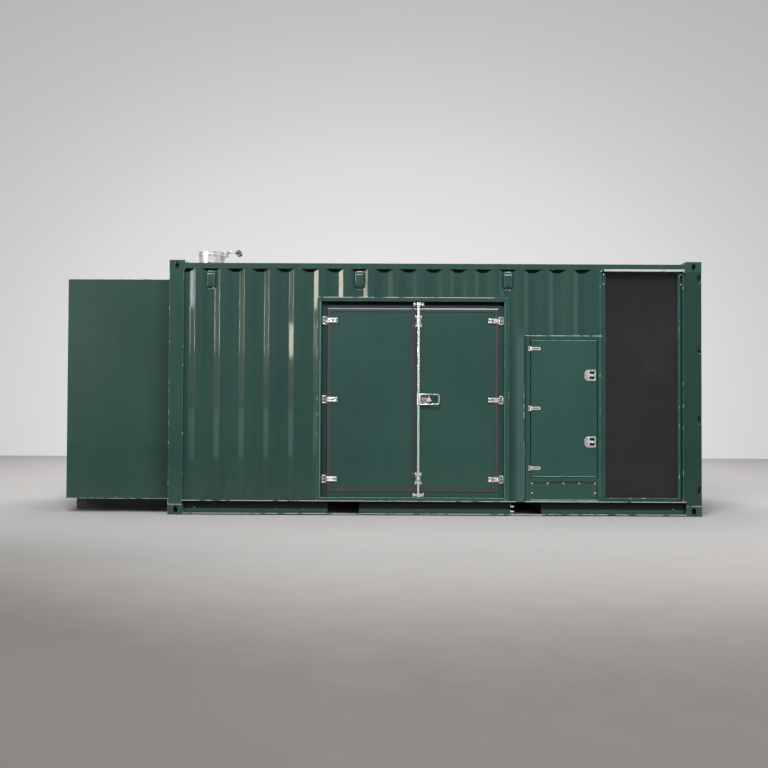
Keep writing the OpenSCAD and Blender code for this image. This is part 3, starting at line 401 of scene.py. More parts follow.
def rubber(name, colour=RUBBER):
    """Grey door-seal rubber with dust in its grain."""
    n = Nodes(name)
    dust = n.noise(60.0, detail=6.0, rough=0.7)
    pale = tuple(min(1.0, c) for c in scaled(colour, 1.5))
    tint = n.blend(n.span(dust, 0.45, 0.75), colour, pale)
    n.set(Base_Color=tint, Roughness=n.span(dust, 0.2, 0.8, 0.5, 0.8))
    n.set(Normal=n.bump(n.noise(300.0, detail=4.0), 0.2 * MM))
    return n.material


def black_paint(name, colour=BLACK):
    """Black paint or grease with dust in it."""
    n = Nodes(name)
    dust = n.noise(18.0, detail=6.0, rough=0.65)
    tint = n.blend(n.span(dust, 0.42, 0.85), colour, tuple(c + 0.03 for c in colour))
    n.set(Base_Color=tint, Roughness=n.span(dust, 0.2, 0.8, 0.45, 0.75))
    n.set(Normal=n.bump(n.noise(200.0), 0.1 * MM))
    return n.material


def screen_black(name):
    """Matte black mesh: a fine woven grain with dust lying unevenly in it, and darker towards
    the top as painted shade under the drip bar.
    """
    n = Nodes(name)
    x, z = n.place()[::2]
    turns = 2.0 * math.pi / WEAVE
    warp, weft = [n.math("SINE", n.times(along, turns)) for along in (x, z)]
    weave = n.span(n.math("ADD", warp, weft), -2.0, 2.0)
    dust = n.noise(1.7, detail=5.0, rough=0.6)
    tint = n.blend(n.span(dust, 0.35, 0.75), SCREEN, scaled(SCREEN, 1.35))
    # Painted shade: darker towards the top.
    tint = n.blend(n.span(z, *SCREEN_SHADE_HEIGHTS, 0.0, 0.6), tint, scaled(SCREEN, 0.55))
    n.set(Base_Color=tint, Roughness=n.mix(weave, 0.62, 0.85), Specular_IOR_Level=0.2)
    n.set(Normal=n.bump(weave, 0.25 * MM))
    return n.material


def perforated(name):
    """Bright sheet with round holes on a 10 mm grid over dark wool."""
    n = Nodes(name)
    grid = n.cells(100.0)
    holes = n.span(grid, 0.30, 0.24)
    grime = n.noise(6.0, detail=4.0)
    sheet = n.blend(n.span(grime, 0.35, 0.8), LINING, scaled(LINING, 0.6))
    n.set(Base_Color=n.blend(holes, sheet, WOOL))
    n.set(Metallic=n.span(grid, 0.24, 0.30, 0.0, 0.9), Roughness=0.45)
    n.set(Normal=n.bump(n.span(grid, 0.22, 0.32), 1.0 * MM))
    return n.material


MATERIALS = {}


def finish(name, recipe, *values, **settings):
    MATERIALS[name] = recipe(name, *values, **settings)


# green_wall: a painted shadow under the top rail and a painted sheen on the rib between the
# doors.
finish("green_wall", green_paint, streaks=0.65, light=0.89, tarred=shadow_under_top_rail,
       shaded=sheen_between_doors, darker=RIB_SHEEN)
finish("green_door", green_paint, streaks=0.25)
finish("green_control", green_paint, streaks=0.25, light=1.07)
# green_frame: painted shade on the end post's face.
finish("green_frame", green_paint, wear=0.55, wave=0.4 * MM, shaded=shade_on_end_post)
# door_frame: a painted shadow under the head and painted shade on the left stile.
finish("door_frame", green_paint, wear=0.55, wave=0.4 * MM, tarred=shadow_under_frame_head,
       shaded=left_stile)
# Lips of the ventilators: a four times lighter green as a painted highlight.
finish("lip_paint", green_paint, wave=0.0, light=4.0, spots=0.62)
# green_rail: a painted shadow on the bottom rail's web.
finish("green_rail", green_paint, wear=0.8, wave=0.4 * MM, tarred=shadow_on_rail_web, tar=RAIL_WEB_SHADOW)
# green_hood: painted shade beside the post.
finish("green_hood", green_paint, streaks=0.25, shaded=shade_beside_post)
# Pale edges and the sloping sill: partly rubbed paint, partly a painted highlight.
finish("rubbed_paint", rubbed_paint)
finish("sill_paint", rubbed_paint, 0.62)
# Painted shade on the end doors' hinges and lugs.
finish("dull_hinge", dull_hinge)
# A lighter green with chips, a painted highlight on beads, rims, rivets and bolts.
finish("green_bead", green_paint, wave=0.0, spots=0.35, light=2.0)
# Chipped paint on a lighter green, a painted highlight on ledges and edges.
finish("green_chipped", green_paint, wave=0.0, spots=0.75, light=1.6)
finish("stainless", brushed_metal, STEEL, 0.16, 0.28)
finish("hinge_plate", brushed_metal, PLATE, 0.22, 0.40)
finish("drip_steel", brushed_metal, DRIP, 0.40, 0.55, metallic=0.3)
finish("bright_steel", brushed_metal, BRIGHT, 0.16, 0.30)
finish("cap_steel", cap_steel)
finish("chrome_latch", brushed_metal, CHROME, 0.14, 0.26)
finish("latch_plate", latch_plate)
finish("exhaust_steel", brushed_metal, CHROME, 0.22, 0.40)
finish("foil", foil)
finish("galvanised", zinc)
finish("seal_rubber", rubber)
# Painted highlight: the seals' top bulbs are far paler than the seal, the right one most.
finish("seal_bulb_left", rubber, LEFT_BULB_HIGHLIGHT)
finish("seal_bulb_right", rubber, RIGHT_BULB_HIGHLIGHT)
finish("black_paint", black_paint)
# dark_grease also gives painted shade: the dark plates in slots, sockets, louvres and the gland
# plate's strips.
finish("dark_grease", black_paint)
finish("dark_bronze", black_paint, BRONZE)
finish("black_screen", screen_black)
finish("screen_wire", screen_black)
finish("lining_sheet", perforated)

# ---------------------------------------------------------------- mesh building

SMOOTH_BELOW = math.radians(38.0)
BEVEL_ABOVE = math.radians(40.0)
FACINGS = {
    "-y": ((1, 0, 0), (0, 0, 1), (0, -1, 0)),
    "+y": ((-1, 0, 0), (0, 0, 1), (0, 1, 0)),
    "+x": ((0, 1, 0), (0, 0, 1), (1, 0, 0)),
    "+z": ((1, 0, 0), (0, 1, 0), (0, 0, 1)),
}


def at(x, y, z, facing="-y"):
    """A place whose own Z points in the facing direction; sizes there are in mm."""
    columns = [MM * Vector(axis) for axis in FACINGS[facing]]
    place = Matrix(columns).transposed().to_4x4()
    place.translation = (x, y, z)
    return place


def moved(place, x, y, z=0.0):
    return place @ Matrix.Translation((x, y, z))


def mirrored_x(place, middle):
    """The same place on the other side of the plane x = middle."""
    flip = Matrix.Diagonal((-1.0, 1.0, 1.0, 1.0))
    flip.translation = (2.0 * middle, 0.0, 0.0)
    return flip @ place


def both(place):
    """A place on the front side, and the same place on the back."""
    return place, Matrix.Diagonal((1.0, -1.0, 1.0, 1.0)) @ place


class Build:
    """Collects closed solids, given in mm at a place, and makes one piece of them."""

    def __init__(self):
        self.points = []
        self.faces = []

    def add(self, place, points, faces):
        first = len(self.points)
        flipped = place.determinant() < 0.0
        self.points.extend(place @ Vector(point) for point in points)
        for face in faces:
            ring = [first + i for i in face]
            self.faces.append(ring[::-1] if flipped else ring)

    def prism(self, place, outline, low, high):
        """A flat outline, anticlockwise, between two heights."""
        count = len(outline)
        points = [(x, y, z) for z in (low, high) for x, y in outline]
        sides = [[i, (i + 1) % count, (i + 1) % count + count, i + count] for i in range(count)]
        ends = [list(range(count))[::-1], list(range(count, 2 * count))]
        self.add(place, points, sides + ends)

    def box(self, place, low, high):
        (x0, y0, z0), (x1, y1, z1) = low, high
        self.prism(place, [(x0, y0), (x1, y0), (x1, y1), (x0, y1)], z0, z1)

    def loft(self, place, rings, closed=False):
        """A skin through rings of points; its ends are capped, or join when closed."""
        points, loops = [], []
        sides = max(len(ring) for ring in rings)
        for ring in rings:
            loops.append([len(points) + side % len(ring) for side in range(sides)])
            points += ring
        pairs = list(zip(loops, loops[1:]))
        if closed:
            pairs.append((loops[-1], loops[0]))
        faces = []
        for below, above in pairs:
            for side in range(sides):
                after = (side + 1) % sides
                face = [below[side], below[after], above[after], above[side]]
                faces.append(list(dict.fromkeys(face)))
        if not closed:
            faces += [end for end in (loops[0][::-1], loops[-1]) if len(set(end)) > 2]
        self.add(place, points, faces)

    def turned(self, place, profile, sides=16, bored=False):
        """A solid of revolution about the place's Z, from (radius, height) pairs; a
        bored one closes its profile round an open hole."""
        turns = [2.0 * math.pi * (side + 0.5) / sides for side in range(sides)]
        rings = []
        for radius, z in profile:
            ring = [(radius * math.cos(turn), radius * math.sin(turn), z) for turn in turns]
            rings.append(ring if radius > 0.0 else ring[:1])
        self.loft(place, rings, bored)

    def tube(self, place, path, radius, sides=10, closed=False):
        """A round bar along a path; its open ends are domed."""
        path = [Vector(point) for point in path]
        radii = [radius] * len(path)
        if not closed:
            for end, inner in ((0, 1), (-1, -2)):
                out = (path[end] - path[inner]).normalized()
                tips = [path[end] + out * radius * share for share in (0.55, 0.85)]
                path = tips[::-1] + path if end == 0 else path + tips
            radii = [0.5 * radius, 0.84 * radius] + radii + [0.84 * radius, 0.5 * radius]
        count = len(path)
        up = None
        rings = []
        for i, point in enumerate(path):
            before = path[i - 1] if closed or i else point
            after = path[(i + 1) % count] if closed or i < count - 1 else point
            along = (after - before).normalized()
            if up is None:
                up = along.orthogonal().normalized()
            up = (up - along * up.dot(along)).normalized()
            side = along.cross(up)
            turns = [2.0 * math.pi * step / sides for step in range(sides)]
            spokes = [up * math.cos(turn) + side * math.sin(turn) for turn in turns]
            rings.append([point + radii[i] * spoke for spoke in spokes])
        self.loft(place, rings, closed)

    def piece(self, name, material, body="container", slot=None, bevel=0.0):
        """Makes the mesh, which rides on the body and takes the given material. The slot is not
        used.
        """
        mesh = bpy.data.meshes.new(name)
        mesh.from_pydata(self.points, [], self.faces)
        mesh.shade_smooth()
        mesh.set_sharp_from_angle(angle=SMOOTH_BELOW)
        mesh.materials.append(MATERIALS[material])
        obj = bpy.data.objects.new(name, mesh)
        bpy.context.scene.collection.objects.link(obj)
        if bevel > 0.0:
            modifier = obj.modifiers.new("bevel", "BEVEL")
            modifier.width = bevel * MM
            modifier.segments = 2
            modifier.limit_method = "ANGLE"
            modifier.angle_limit = BEVEL_ABOVE
            modifier.harden_normals = True
        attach(obj, body)
        return obj


def dome(build, place, x, y, z, radius, height):
    """A round rivet or screw head standing on the place's plane at height z."""
    curve = ((1.0, 0.0), (0.96, 0.3), (0.78, 0.66), (0.45, 0.92), (0.0, 1.0))
    profile = [(radius * r, z + height * h) for r, h in curve]
    build.turned(moved(place, x, y), profile, 14)


def bolt(build, place, x, y, z, radius, height):
    """A washer with a chamfered hexagon head."""
    spot = moved(place, x, y)
    build.turned(spot, [(1.45 * radius, z), (1.45 * radius, z + 0.25 * height)])
    head = [(radius, z + 0.25 * height), (radius, z + 0.85 * height), (0.8 * radius, z + height)]
    build.turned(spot, head, 6)


def rounded(x0, x1, y0, y1, radius, steps=4):
    """The outline of a rectangle with rounded corners, anticlockwise."""
    points = []
    for x, y, start in ((x1, y1, 0), (x0, y1, 90), (x0, y0, 180), (x1, y0, 270)):
        cx = x - radius if x == x1 else x + radius
        cy = y - radius if y == y1 else y + radius
        for step in range(steps + 1):
            angle = math.radians(start + 90.0 * step / steps)
            points.append((cx + radius * math.cos(angle), cy + radius * math.sin(angle)))
    return points


def loop(outline, z):
    """The points of a flat outline at one height, for a closed tube."""
    return [(x, y, z) for x, y in outline]


def bead(build, start, end, radius):
    """A weld or rolled edge along a straight line between two points in metres."""
    path = [tuple(v / MM for v in point) for point in (start, end)]
    build.tube(Matrix.Diagonal((MM, MM, MM, 1.0)), path, radius, 8)


def beads(build, start, end, radius):
    """A bead on the front side, and its twin on the back."""
    for side in (1.0, -1.0):
        bead(build, *[(x, side * y, z) for x, y, z in (start, end)], radius)


# ---------------------------------------------------------------- CAD nodes


def edge_group(name):
    """A geometry node group, its input and the angles of that geometry's edges."""
    tree = bpy.data.node_groups.new(name, "GeometryNodeTree")
    for way in ("INPUT", "OUTPUT"):
        tree.interface.new_socket("Geometry", in_out=way, socket_type="NodeSocketGeometry")
    g = Graph(tree)
    start = g.add("GroupInput", family="Node").outputs[0]
    angle = g.add("InputMeshEdgeAngle", family="GeometryNode").outputs["Unsigned Angle"]
    return g, start, angle


def weigh_bends(low, high):
    """A node group that gives bends between two angles the bevel's weight."""
    g, start, angle = edge_group("weigh_bends")
    above = g.math("GREATER_THAN", angle, math.radians(low))
    below = g.math("LESS_THAN", angle, math.radians(high))
    inputs = {"Name": "bevel_weight_edge", "Value": g.times(above, below), "Geometry": start}
    kind = {"data_type": "FLOAT", "domain": "EDGE"}
    weights = g.add("StoreNamedAttribute", inputs, "GeometryNode", **kind)
    g.add("GroupOutput", {0: weights.outputs[0]}, "Node")
    return g.tree


def shade_smooth(low):
    """A node group that shades smooth and keeps edges above the angle sharp."""
    g, start, angle = edge_group("shade_smooth")
    sharp = g.math("GREATER_THAN", angle, math.radians(low))
    inputs = {"Remove Custom": True, "Edge Sharpness": sharp, "Mesh": start}
    normals = g.add("SetMeshNormal", inputs, "GeometryNode", mode="SHARPNESS")
    g.add("GroupOutput", {0: normals.outputs[0]}, "Node")
    return g.tree


BENDS = weigh_bends(15.0, 60.0)
SHADING = shade_smooth(24.0)


def soften(name, width, segments=2, bends_only=False):
    """Rounds a CAD node's edges, or only the shallow bends of a folded sheet."""
    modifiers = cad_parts[name].modifiers
    modifiers.new("weld", "WELD").merge_threshold = 0.01 * MM
    planar = modifiers.new("planar", "DECIMATE")
    planar.decimate_type = "DISSOLVE"
    planar.angle_limit = math.radians(0.5)
    if bends_only:
        modifiers.new(BENDS.name, "NODES").node_group = BENDS
    bevel = modifiers.new("bevel", "BEVEL")
    bevel.width = width
    bevel.segments = segments
    bevel.limit_method = "WEIGHT" if bends_only else "ANGLE"
    bevel.angle_limit = BEVEL_ABOVE
    bevel.miter_outer = "MITER_ARC"
    modifiers.new(SHADING.name, "NODES").node_group = SHADING
    modifiers.new("weighted", "WEIGHTED_NORMAL").keep_sharp = True


PAINTED = {
    "green_wall": ("front_wall", "back_wall", "roof_panel"),
    "green_door": ("left_door", "right_door", "back_doors", "end_doors", "hood_end_wall",
                   "gland_plate"),
    "green_control": ("control_door",),
    "green_hood": ("hood_panels",),
    "door_frame": ("front_door_frame", "back_door_frame"),
    "green_frame": ("control_door_frame", "corner_posts", "inlet_frames", "end_headers",
                    "hood_grille", "ventilators", "exhaust_collar"),
    "dull_hinge": ("end_door_hinges",),
    "green_rail": ("top_side_rails", "bottom_side_rails", "corner_castings", "end_sills"),
    "latch_plate": ("latch_bodies",),
    "hinge_plate": ("left_door_straps", "right_door_straps", "hinge_bases"),
    "cap_steel": ("rain_cap",),
    "drip_steel": ("drip_bars",),
}


def dress_cad_nodes():
    """Gives each CAD node its own material, or else the one that its slot names."""
    listed = {name: material for material, group in PAINTED.items() for name in group}
    for name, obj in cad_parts.items():
        slots = obj.data.materials
        material = listed.get(name) or slots[0].name.split(".")[0]
        slots.clear()
        slots.append(MATERIALS[material])


SOFT_BENDS = ("front_wall", "back_wall", "roof_panel")
SOFT_EDGES = {
    5.0: ("corner_castings",),
    3.0: ("corner_posts", "bottom_side_rails", "end_headers", "end_sills", "hood_panels",
          "end_doors"),
    2.5: ("left_door", "right_door", "back_doors", "control_door"),
    2.0: ("top_side_rails", "front_door_frame", "back_door_frame", "control_door_frame",
          "inlet_frames", "hood_end_wall", "hood_plinth"),
    1.5: ("drip_bars", "ventilators"),
}


def soften_cad_nodes():
    for name in SOFT_BENDS:
        soften(name, 12 * MM, segments=4, bends_only=True)
    for width, names in SOFT_EDGES.items():
        for name in names:
            soften(name, width * MM)


# ---------------------------------------------------------------- edges and welds


def chipped_edges():
    """Ledges and weld beads whose paint is chipped through to the primer, in a lighter green as
    a painted highlight.
    """
    build = Build()
    frame_low, frame_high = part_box("front_door_frame")
    rail_low, rail_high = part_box("bottom_side_rails")
    post_low, post_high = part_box("corner_posts")
    ledges = (
        (frame_low.x, frame_high.x, frame_high.z - EDGE / 2),
        (rail_low.x, rail_high.x, rail_high.z - EDGE / 2),
        (rail_low.x, rail_high.x, rail_low.z + 0.004),
        (post_low.x, rail_low.x - 0.010, post_low.z),
        (rail_high.x + 0.010, post_high.x - 0.006, post_low.z),
    )
    for x0, x1, z in ledges:
        beads(build, (x0, RIM, z), (x1, RIM, z), 4.5)
    low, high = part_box("control_door_frame")
    z = high.z - EDGE / 2
    bead(build, (low.x, RIM, z), (high.x, RIM, z), 4.5)
    low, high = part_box("hood_panels")
    y = low.y + EDGE / 2
    for z in (high.z - EDGE / 2, low.z + EDGE / 2):
        beads(build, (low.x + 0.01, y, z), (high.x - 0.02, y, z), 3.0)
    build.piece("chipped_edges", "green_chipped")


def weld_lines():
    """Upright welds and folds on both sides, in a lighter green with chips as a painted
    highlight, and on the front a bright bead that stands for a glint on the wall's fold, also a
    painted highlight.
    """
    build = Build()
    post_low, post_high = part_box("corner_posts")
    rail_low, rail_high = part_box("bottom_side_rails")
    inlet_low, inlet_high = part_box("inlet_frames")
    screen_low, screen_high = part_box("inlet_screens")
    frame_low, frame_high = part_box("front_door_frame")
    foot, head = rail_high.z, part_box("top_side_rails")[0].z
    uprights = [(x, foot, head) for x in (inlet_low.x, inlet_high.x - 0.032, rail_low.x)]
    uprights += [(post_low.x + EDGE, post_low.z, post_high.z)]
    uprights += [(screen_high.x + 0.004, screen_low.z, screen_high.z)]
    uprights += [(x, foot, frame_high.z) for x in (frame_low.x, frame_high.x)]
    for x, low, high in uprights:
        beads(build, (x, RIM, low + 0.004), (x, RIM, high - 0.004), 3.2)
    z = screen_low.z
    beads(build, (screen_low.x, RIM, z), (screen_high.x, RIM, z), 3.2)
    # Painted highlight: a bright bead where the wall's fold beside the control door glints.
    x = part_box("control_door_frame")[0].x - BESIDE_FRAME
    bead(build, *[(x, FACE + EDGE, z) for z in FOLD_MIDDLE], 4.0)
    build.piece("weld_lines", "green_bead")


def frame_fold():
    """The fold round the door frame's face, mitred at the lower right corner, pale as rubbed
    paint and a painted highlight, and the foot of the wall's fold beside the control door,
    pale as a painted highlight."""
    build = Build()
    low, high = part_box("front_door_frame")
    left, right = low.x + 0.030, high.x - 0.045
    foot, head = low.z + 0.036, high.z - 0.050
    corners = ((left, head), (left, foot), (high.x - 0.057, foot))
    corners += ((high.x - 0.018, low.z + 0.005),)
    path = [(x / MM, 0.0, z / MM) for x, z in corners]
    for side in (1.0, -1.0):
        place = Matrix.Diagonal((MM, MM, MM, 1.0))
        place.translation = (0.0, side * RIM, 0.0)
        build.tube(place, path, 3.6, 8)
    beads(build, (right, RIM, foot + 0.01), (right, RIM, head), 2.6)
    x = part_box("control_door_frame")[0].x - BESIDE_FRAME
    bead(build, *[(x, RIM, z) for z in FOLD_FOOT], 2.4)
    build.piece("frame_fold", "rubbed_paint")


def gland_sill():
    """The sloping ledge under the cable gland plate, pale as a painted highlight, and the dark
    strips above and beside the plate, which are painted shadow.
    """
    low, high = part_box("gland_plate")
    rail_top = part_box("bottom_side_rails")[1].z
    drop, width = (low.z - rail_top) / MM, (high.x - low.x) / MM
    out = (low.y - FACE) / MM
    sill, shadow_strip = Build(), Build()
    slope = [(0, 1), (0, drop), (-out, 3), (-out, 1)]
    sill.prism(at(low.x, low.y, rail_top, "+x"), slope, 0.0, width)
    sill.piece("gland_sill", "sill_paint")
    shadow_strip.box(at(low.x, low.y, high.z), (0, -9, 0.2), (width, -1, 9.0))
    shadow_strip.box(at(low.x, low.y, low.z), (width - 7, 0, 0.2), (width - 1, 196, 6.0))
    shadow_strip.piece("gland_shadow_strip", "dark_grease")


def control_door_edge():
    """The rolled top and bottom edges of the control door, pale as a painted highlight."""
    build = Build()
    low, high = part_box("control_door")
    for z in (high.z - EDGE / 2, low.z + EDGE / 2):
        bead(build, (low.x + 0.004, RIM, z), (high.x - 0.004, RIM, z), 4.0)
    build.piece("control_door_edge", "rubbed_paint", "control_leaf")


# ---------------------------------------------------------------- doors

PIN_X = -0.647
DOOR_MIDDLE = 0.344
BAR_X = 0.408
BAR_OUT = 30
BAR_BORE = 14.8
HANDLE_FACE = -1.192
STRAP_RISE = 14.0
CONTROL_PIN_X = 1.681


def levels(node, inset, count):
    """Evenly spaced heights between a node's ends, inset by some millimetres."""
    low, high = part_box(node)
    return spread(low.z + inset * MM, high.z - inset * MM, count)


def strap_detail(build, dark, place):
    """Pressed ribs, a ring and a slot on a door strap; x runs from the pin. The slot is a thin
    dark plate of painted shade.
    """
    z = STRAP_RISE
    for y in (17, -17):
        build.tube(place, [(16, y, z), (126, y, z)], 6.0)
    build.tube(place, loop(rounded(18, 62, -11, 11, 9), z), 5.0, closed=True)
    build.tube(place, [(78, 0, z), (106, 0, z)], 4.0)
    dark.prism(place, rounded(66, 125, -10, 10, 4), z, z + 0.8)
    for x in (40, 116):
        bolt(build, place, x, 0, z, 5.0, 6.0)


def base_detail(build, dark, place):
    """A raised outer edge, lobed ends and a slot on a hinge's base plate; the slot is a thin
    dark plate of painted shade.
    """
    build.tube(place, [(-41, -36, 8), (-41, 36, 8)], 5.5)
    for y in (-38, 38):
        build.tube(place, [(-39, y, 9), (-16, y, 9)], 7.0)
    dark.prism(place, rounded(-32, -20, -28, 28, 4), 8.0, 8.8)
    bolt(build, place, -26, 0, 8.8, 5.0, 4.5)


def door_hinges():
    """Detail of the hinges on both pairs of doors; the back pair is welded shut."""
    left, right, bases, dark = Build(), Build(), Build(), Build()
    left_dark, right_dark = Build(), Build()
    for z in levels("left_door_straps", 31.0, 3):
        near = at(PIN_X, LEAF_FACE, z)
        far = mirrored_x(near, DOOR_MIDDLE)
        strap_detail(left, left_dark, near)
        strap_detail(right, right_dark, far)
        for front, back in (both(near), both(far)):
            base_detail(bases, dark, front)
            base_detail(bases, dark, back)
            strap_detail(bases, dark, back)
    left.piece("left_strap_detail", "bright_steel", "left_leaf")
    right.piece("right_strap_detail", "bright_steel", "right_leaf")
    bases.piece("hinge_base_detail", "bright_steel")
    left_dark.piece("left_strap_slots", "dark_grease", "left_leaf")
    right_dark.piece("right_strap_slots", "dark_grease", "right_leaf")
    dark.piece("hinge_base_slots", "dark_grease")


def guide_casting(build, dark, place, upright):
    """A bearing that the lock bar turns in: a waisted foot, two open saddles over the
    bar, a collar between them, and four bosses whose sockets, and the patches between them,
    are thin dark pieces of painted shade."""
    half, long, waist = 38, 66, 27
    foot = [(-half, -long), (half, -long), (half, -44), (waist, -34), (waist, 34), (half, 44)]
    foot += [(-x, -y) for x, y in foot]
    build.prism(place, foot, 0.0, 6.0)
    turns = [math.radians(180.0 + 15.0 * step) for step in range(13)]
    outer = [(21 * math.cos(turn), 21 * math.sin(turn) - BAR_OUT) for turn in turns]
    inner = [(BAR_BORE * math.cos(turn), BAR_BORE * math.sin(turn) - BAR_OUT) for turn in turns]
    saddle = [(-30, -5), *outer, (30, -5), (BAR_BORE, -5), *inner[::-1], (-BAR_BORE, -5)]
    for z in (-56, 40):
        build.prism(upright, saddle, z, z + 16)
    collar = [(BAR_BORE, -16), (17, -16), (21, -11), (21, 11), (17, 16), (BAR_BORE, 16)]
    build.turned(moved(upright, 0, -BAR_OUT), collar, 20, bored=True)
    for x in (-24, 24):
        for y in (-24, 24):
            build.turned(moved(place, x, y), [(10, 6), (10, 15), (8, 17)])
            dark.turned(moved(place, x, y), [(6, 17), (6, 17.6)], 12)
        dark.prism(place, rounded(x - 7, x + 7, -9, 9, 4), 6.0, 6.8)


def lock_bar_fittings():
    """Guides that replace the plain ones, and plates, bolts and gussets on the keepers."""
    front, back, front_dark, back_dark, keepers = [Build() for _ in range(5)]
    for z in levels("lock_bar_guides", 65.0, 2):
        places = both(at(BAR_X, LEAF_FACE, z))
        uprights = both(at(BAR_X, LEAF_FACE, z, "+z"))
        guide_casting(front, front_dark, places[0], uprights[0])
        guide_casting(back, back_dark, places[1], uprights[1])
    guides = front.piece("guide_castings", "bright_steel", "right_leaf", bevel=1.2)
    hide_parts("lock_bar_guides")
    front_dark.piece("guide_sockets", "dark_grease", "right_leaf")
    back_dark.piece("back_guide_sockets", "dark_grease")
    low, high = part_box("lock_keepers")
    lens = [(-60, -9), (60, -9), (60, 3), (42, 14), (16, 19), (-16, 19), (-42, 14), (-60, 3)]
    for z, side in ((low.z + 0.020, -1), (high.z - 0.020, 1)):
        outline = [(x, side * y) for x, y in lens][::side]
        for place in both(at((low.x + high.x) / 2, LEAF_FACE, z)):
            keepers.prism(place, outline, 0.0, 5.0)
        for x, inward in ((low.x + 0.007, 11), (high.x - 0.007, -11)):
            for place in both(at(x, LEAF_FACE, z)):
                for y in (-11, 11):
                    dome(keepers, place, 0, y, 6.0, 5.0, 4.0)
                keepers.tube(place, [(inward, -17, 36), (inward, 17, 36)], 5.5)
    keepers.piece("keeper_detail", "bright_steel")
    back.piece("back_guide_castings", "bright_steel", bevel=1.2)


def handle_detail():
    """The hasp with its ring and slot on the dark face of the lock handle."""
    low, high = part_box("lock_handle")
    place = at(BAR_X, HANDLE_FACE, (low.z + high.z) / 2)
    steel, dark = Build(), Build()
    dark.prism(place, rounded(24, 116, -50, 50, 6), 18.0, 18.7)
    steel.prism(place, rounded(34, 96, -12, 16, 7), 18.7, 22)
    # The hasp's slot is a thin dark plate: painted shade.
    dark.prism(place, rounded(42, 84, -5, 5, 4), 22.0, 22.6)
    ear = [(92, -24), (142, -24), (146, -16), (126, 26), (112, 26), (90, -14)]
    steel.prism(place, ear, 19, 23)
    for x, y in ((102, -15), (132, -15), (118, 14)):
        dome(steel, place, x, y, 23, 6.0, 5.0)
    steel.tube(place, [(14, 58, 18), (150, 58, 16)], 5.5)
    steel.tube(place, [(30, -32, 18.5), (112, -32, 18.5)], 3.5)
    steel.tube(place, [(12, -58, 16), (150, -58, 16), (164, -52, 15), (186, -50, 14)], 5.5)
    steel.tube(place, [(14, -52, 18), (14, 52, 18)], 7.0)
    steel.piece("handle_detail", "bright_steel", "lock_bar_turning", bevel=0.8)
    dark.piece("handle_window", "dark_bronze", "lock_bar_turning")


def control_fittings():
    """Raised rims and dark screws on the control door's hinges and latches."""
    rims, bases, screws, slots = Build(), Build(), Build(), Build()
    rise = 4.0
    for z in levels("control_door_straps", 18.0, 3):
        place = at(CONTROL_PIN_X, FACE, z)
        rims.tube(place, loop(rounded(12, 107, -14, 14, 9), rise), 3.2, closed=True)
        bases.tube(place, loop(rounded(-24, -9, -26, 26, 5), rise), 2.6, closed=True)
        for x in (32, 60, 88):
            dome(screws, place, x, 0, rise, 6.0, 1.5)
        # The base's slot is a thin dark plate: painted shade.
        slots.prism(place, rounded(-23, -13, -15, 15, 4), rise, 5.0)
        screws.prism(place, rounded(28, 92, -2.5, 2.5, 2), rise, 4.8)
    latch_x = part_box("latch_bodies")[0].x + 0.064
    for name in ("upper_latch_paddle", "lower_latch_paddle"):
        low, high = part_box(name)
        place = at(latch_x, FACE, (low.z + high.z) / 2)
        rims.tube(place, loop(rounded(-17, 53, -47, 47, 8), rise), 3.0, closed=True)
        rims.tube(place, [(-6, -57, rise), (54, -57, rise)], 3.5)
        for x, y in ((-50, 0), (-34, 28), (-34, -28), (56, 52)):
            dome(screws, place, x, y, rise, 5.0, 1.5)
    rims.piece("control_fitting_rims", "bright_steel", "control_leaf")
    bases.piece("control_base_rims", "bright_steel")
    screws.piece("control_screws", "dark_grease", "control_leaf")
    slots.piece("control_base_slots", "dark_grease")


def paddle(side):
    """A T-shaped latch paddle: a bored knuckle, a curved arm and a round key barrel."""
    node = side + "_latch_paddle"
    low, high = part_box(node)
    build = Build()
    place = at(low.x + 0.005, FACE - 0.001, (low.z + high.z) / 2)
    edge_on = place @ Matrix.Rotation(math.radians(90.0), 4, "X")
    knuckle = [(3.2, -41), (3.8, -41), (4.3, -40), (4.3, 40), (3.8, 41), (3.2, 41)]
    build.turned(edge_on, knuckle, bored=True)
    arm = [(3.8, -2.6), (20, -1), (44, 1), (57, 4), (55, 7), (42, 5), (20, 3), (3.8, 2.2)]
    build.prism(edge_on, arm, -13, 13)
    barrel = [(13, 0), (13, 5), (11, 6.5), (8, 6.5), (7, 5), (0, 5)]
    build.turned(moved(place, 28, 0), barrel, 24)
    body = side + "_paddle"
    piece = build.piece("paddle_" + side, "bright_steel", body, "chrome_latch", bevel=0.8)
    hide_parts(node)


def door_linings():
    """Perforated sheets in stiffener frames on the inner faces of the doors."""
    border = 45
    for side in ("left", "right", "control"):
        node, body = side + "_door", side + "_leaf"
        low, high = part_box(node)
        sheet, ribs = Build(), Build()
        width, height = (high.x - low.x) / MM, (high.z - low.z) / MM
        place = at(high.x, high.y, low.z, "+y")
        sheet.prism(place, rounded(border, width - border, border, height - border, 6), 0.3, 3.0)
        for y in spread(border, height - border, 5 if height > 1800 else 4):
            ribs.tube(place, [(50, y, 2.0), (width - 50, y, 2.0)], 5.0)
        for x in (border, width - border):
            ribs.tube(place, [(x, 50, 2.0), (x, height - 50, 2.0)], 5.0)
        sheet.piece(node + "_lining", "lining_sheet", body)
        ribs.piece(node + "_stiffeners", "green_frame", body)


def seal_bulbs():
    """The bulb of rubber along the top of each leaf's seal, far paler than the rest of the seal
    as a painted highlight, and paler on the right leaf.
    """
    for side in ("left", "right"):
        low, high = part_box(side + "_door_seal")
        build = Build()
        y, z = LEAF_FACE - 0.0045, high.z - 0.008
        bead(build, (low.x + 0.010, y, z), (high.x - 0.010, y, z), 6.5)
        build.piece(side + "_door_seal_bulb", "seal_bulb_" + side, side + "_leaf")


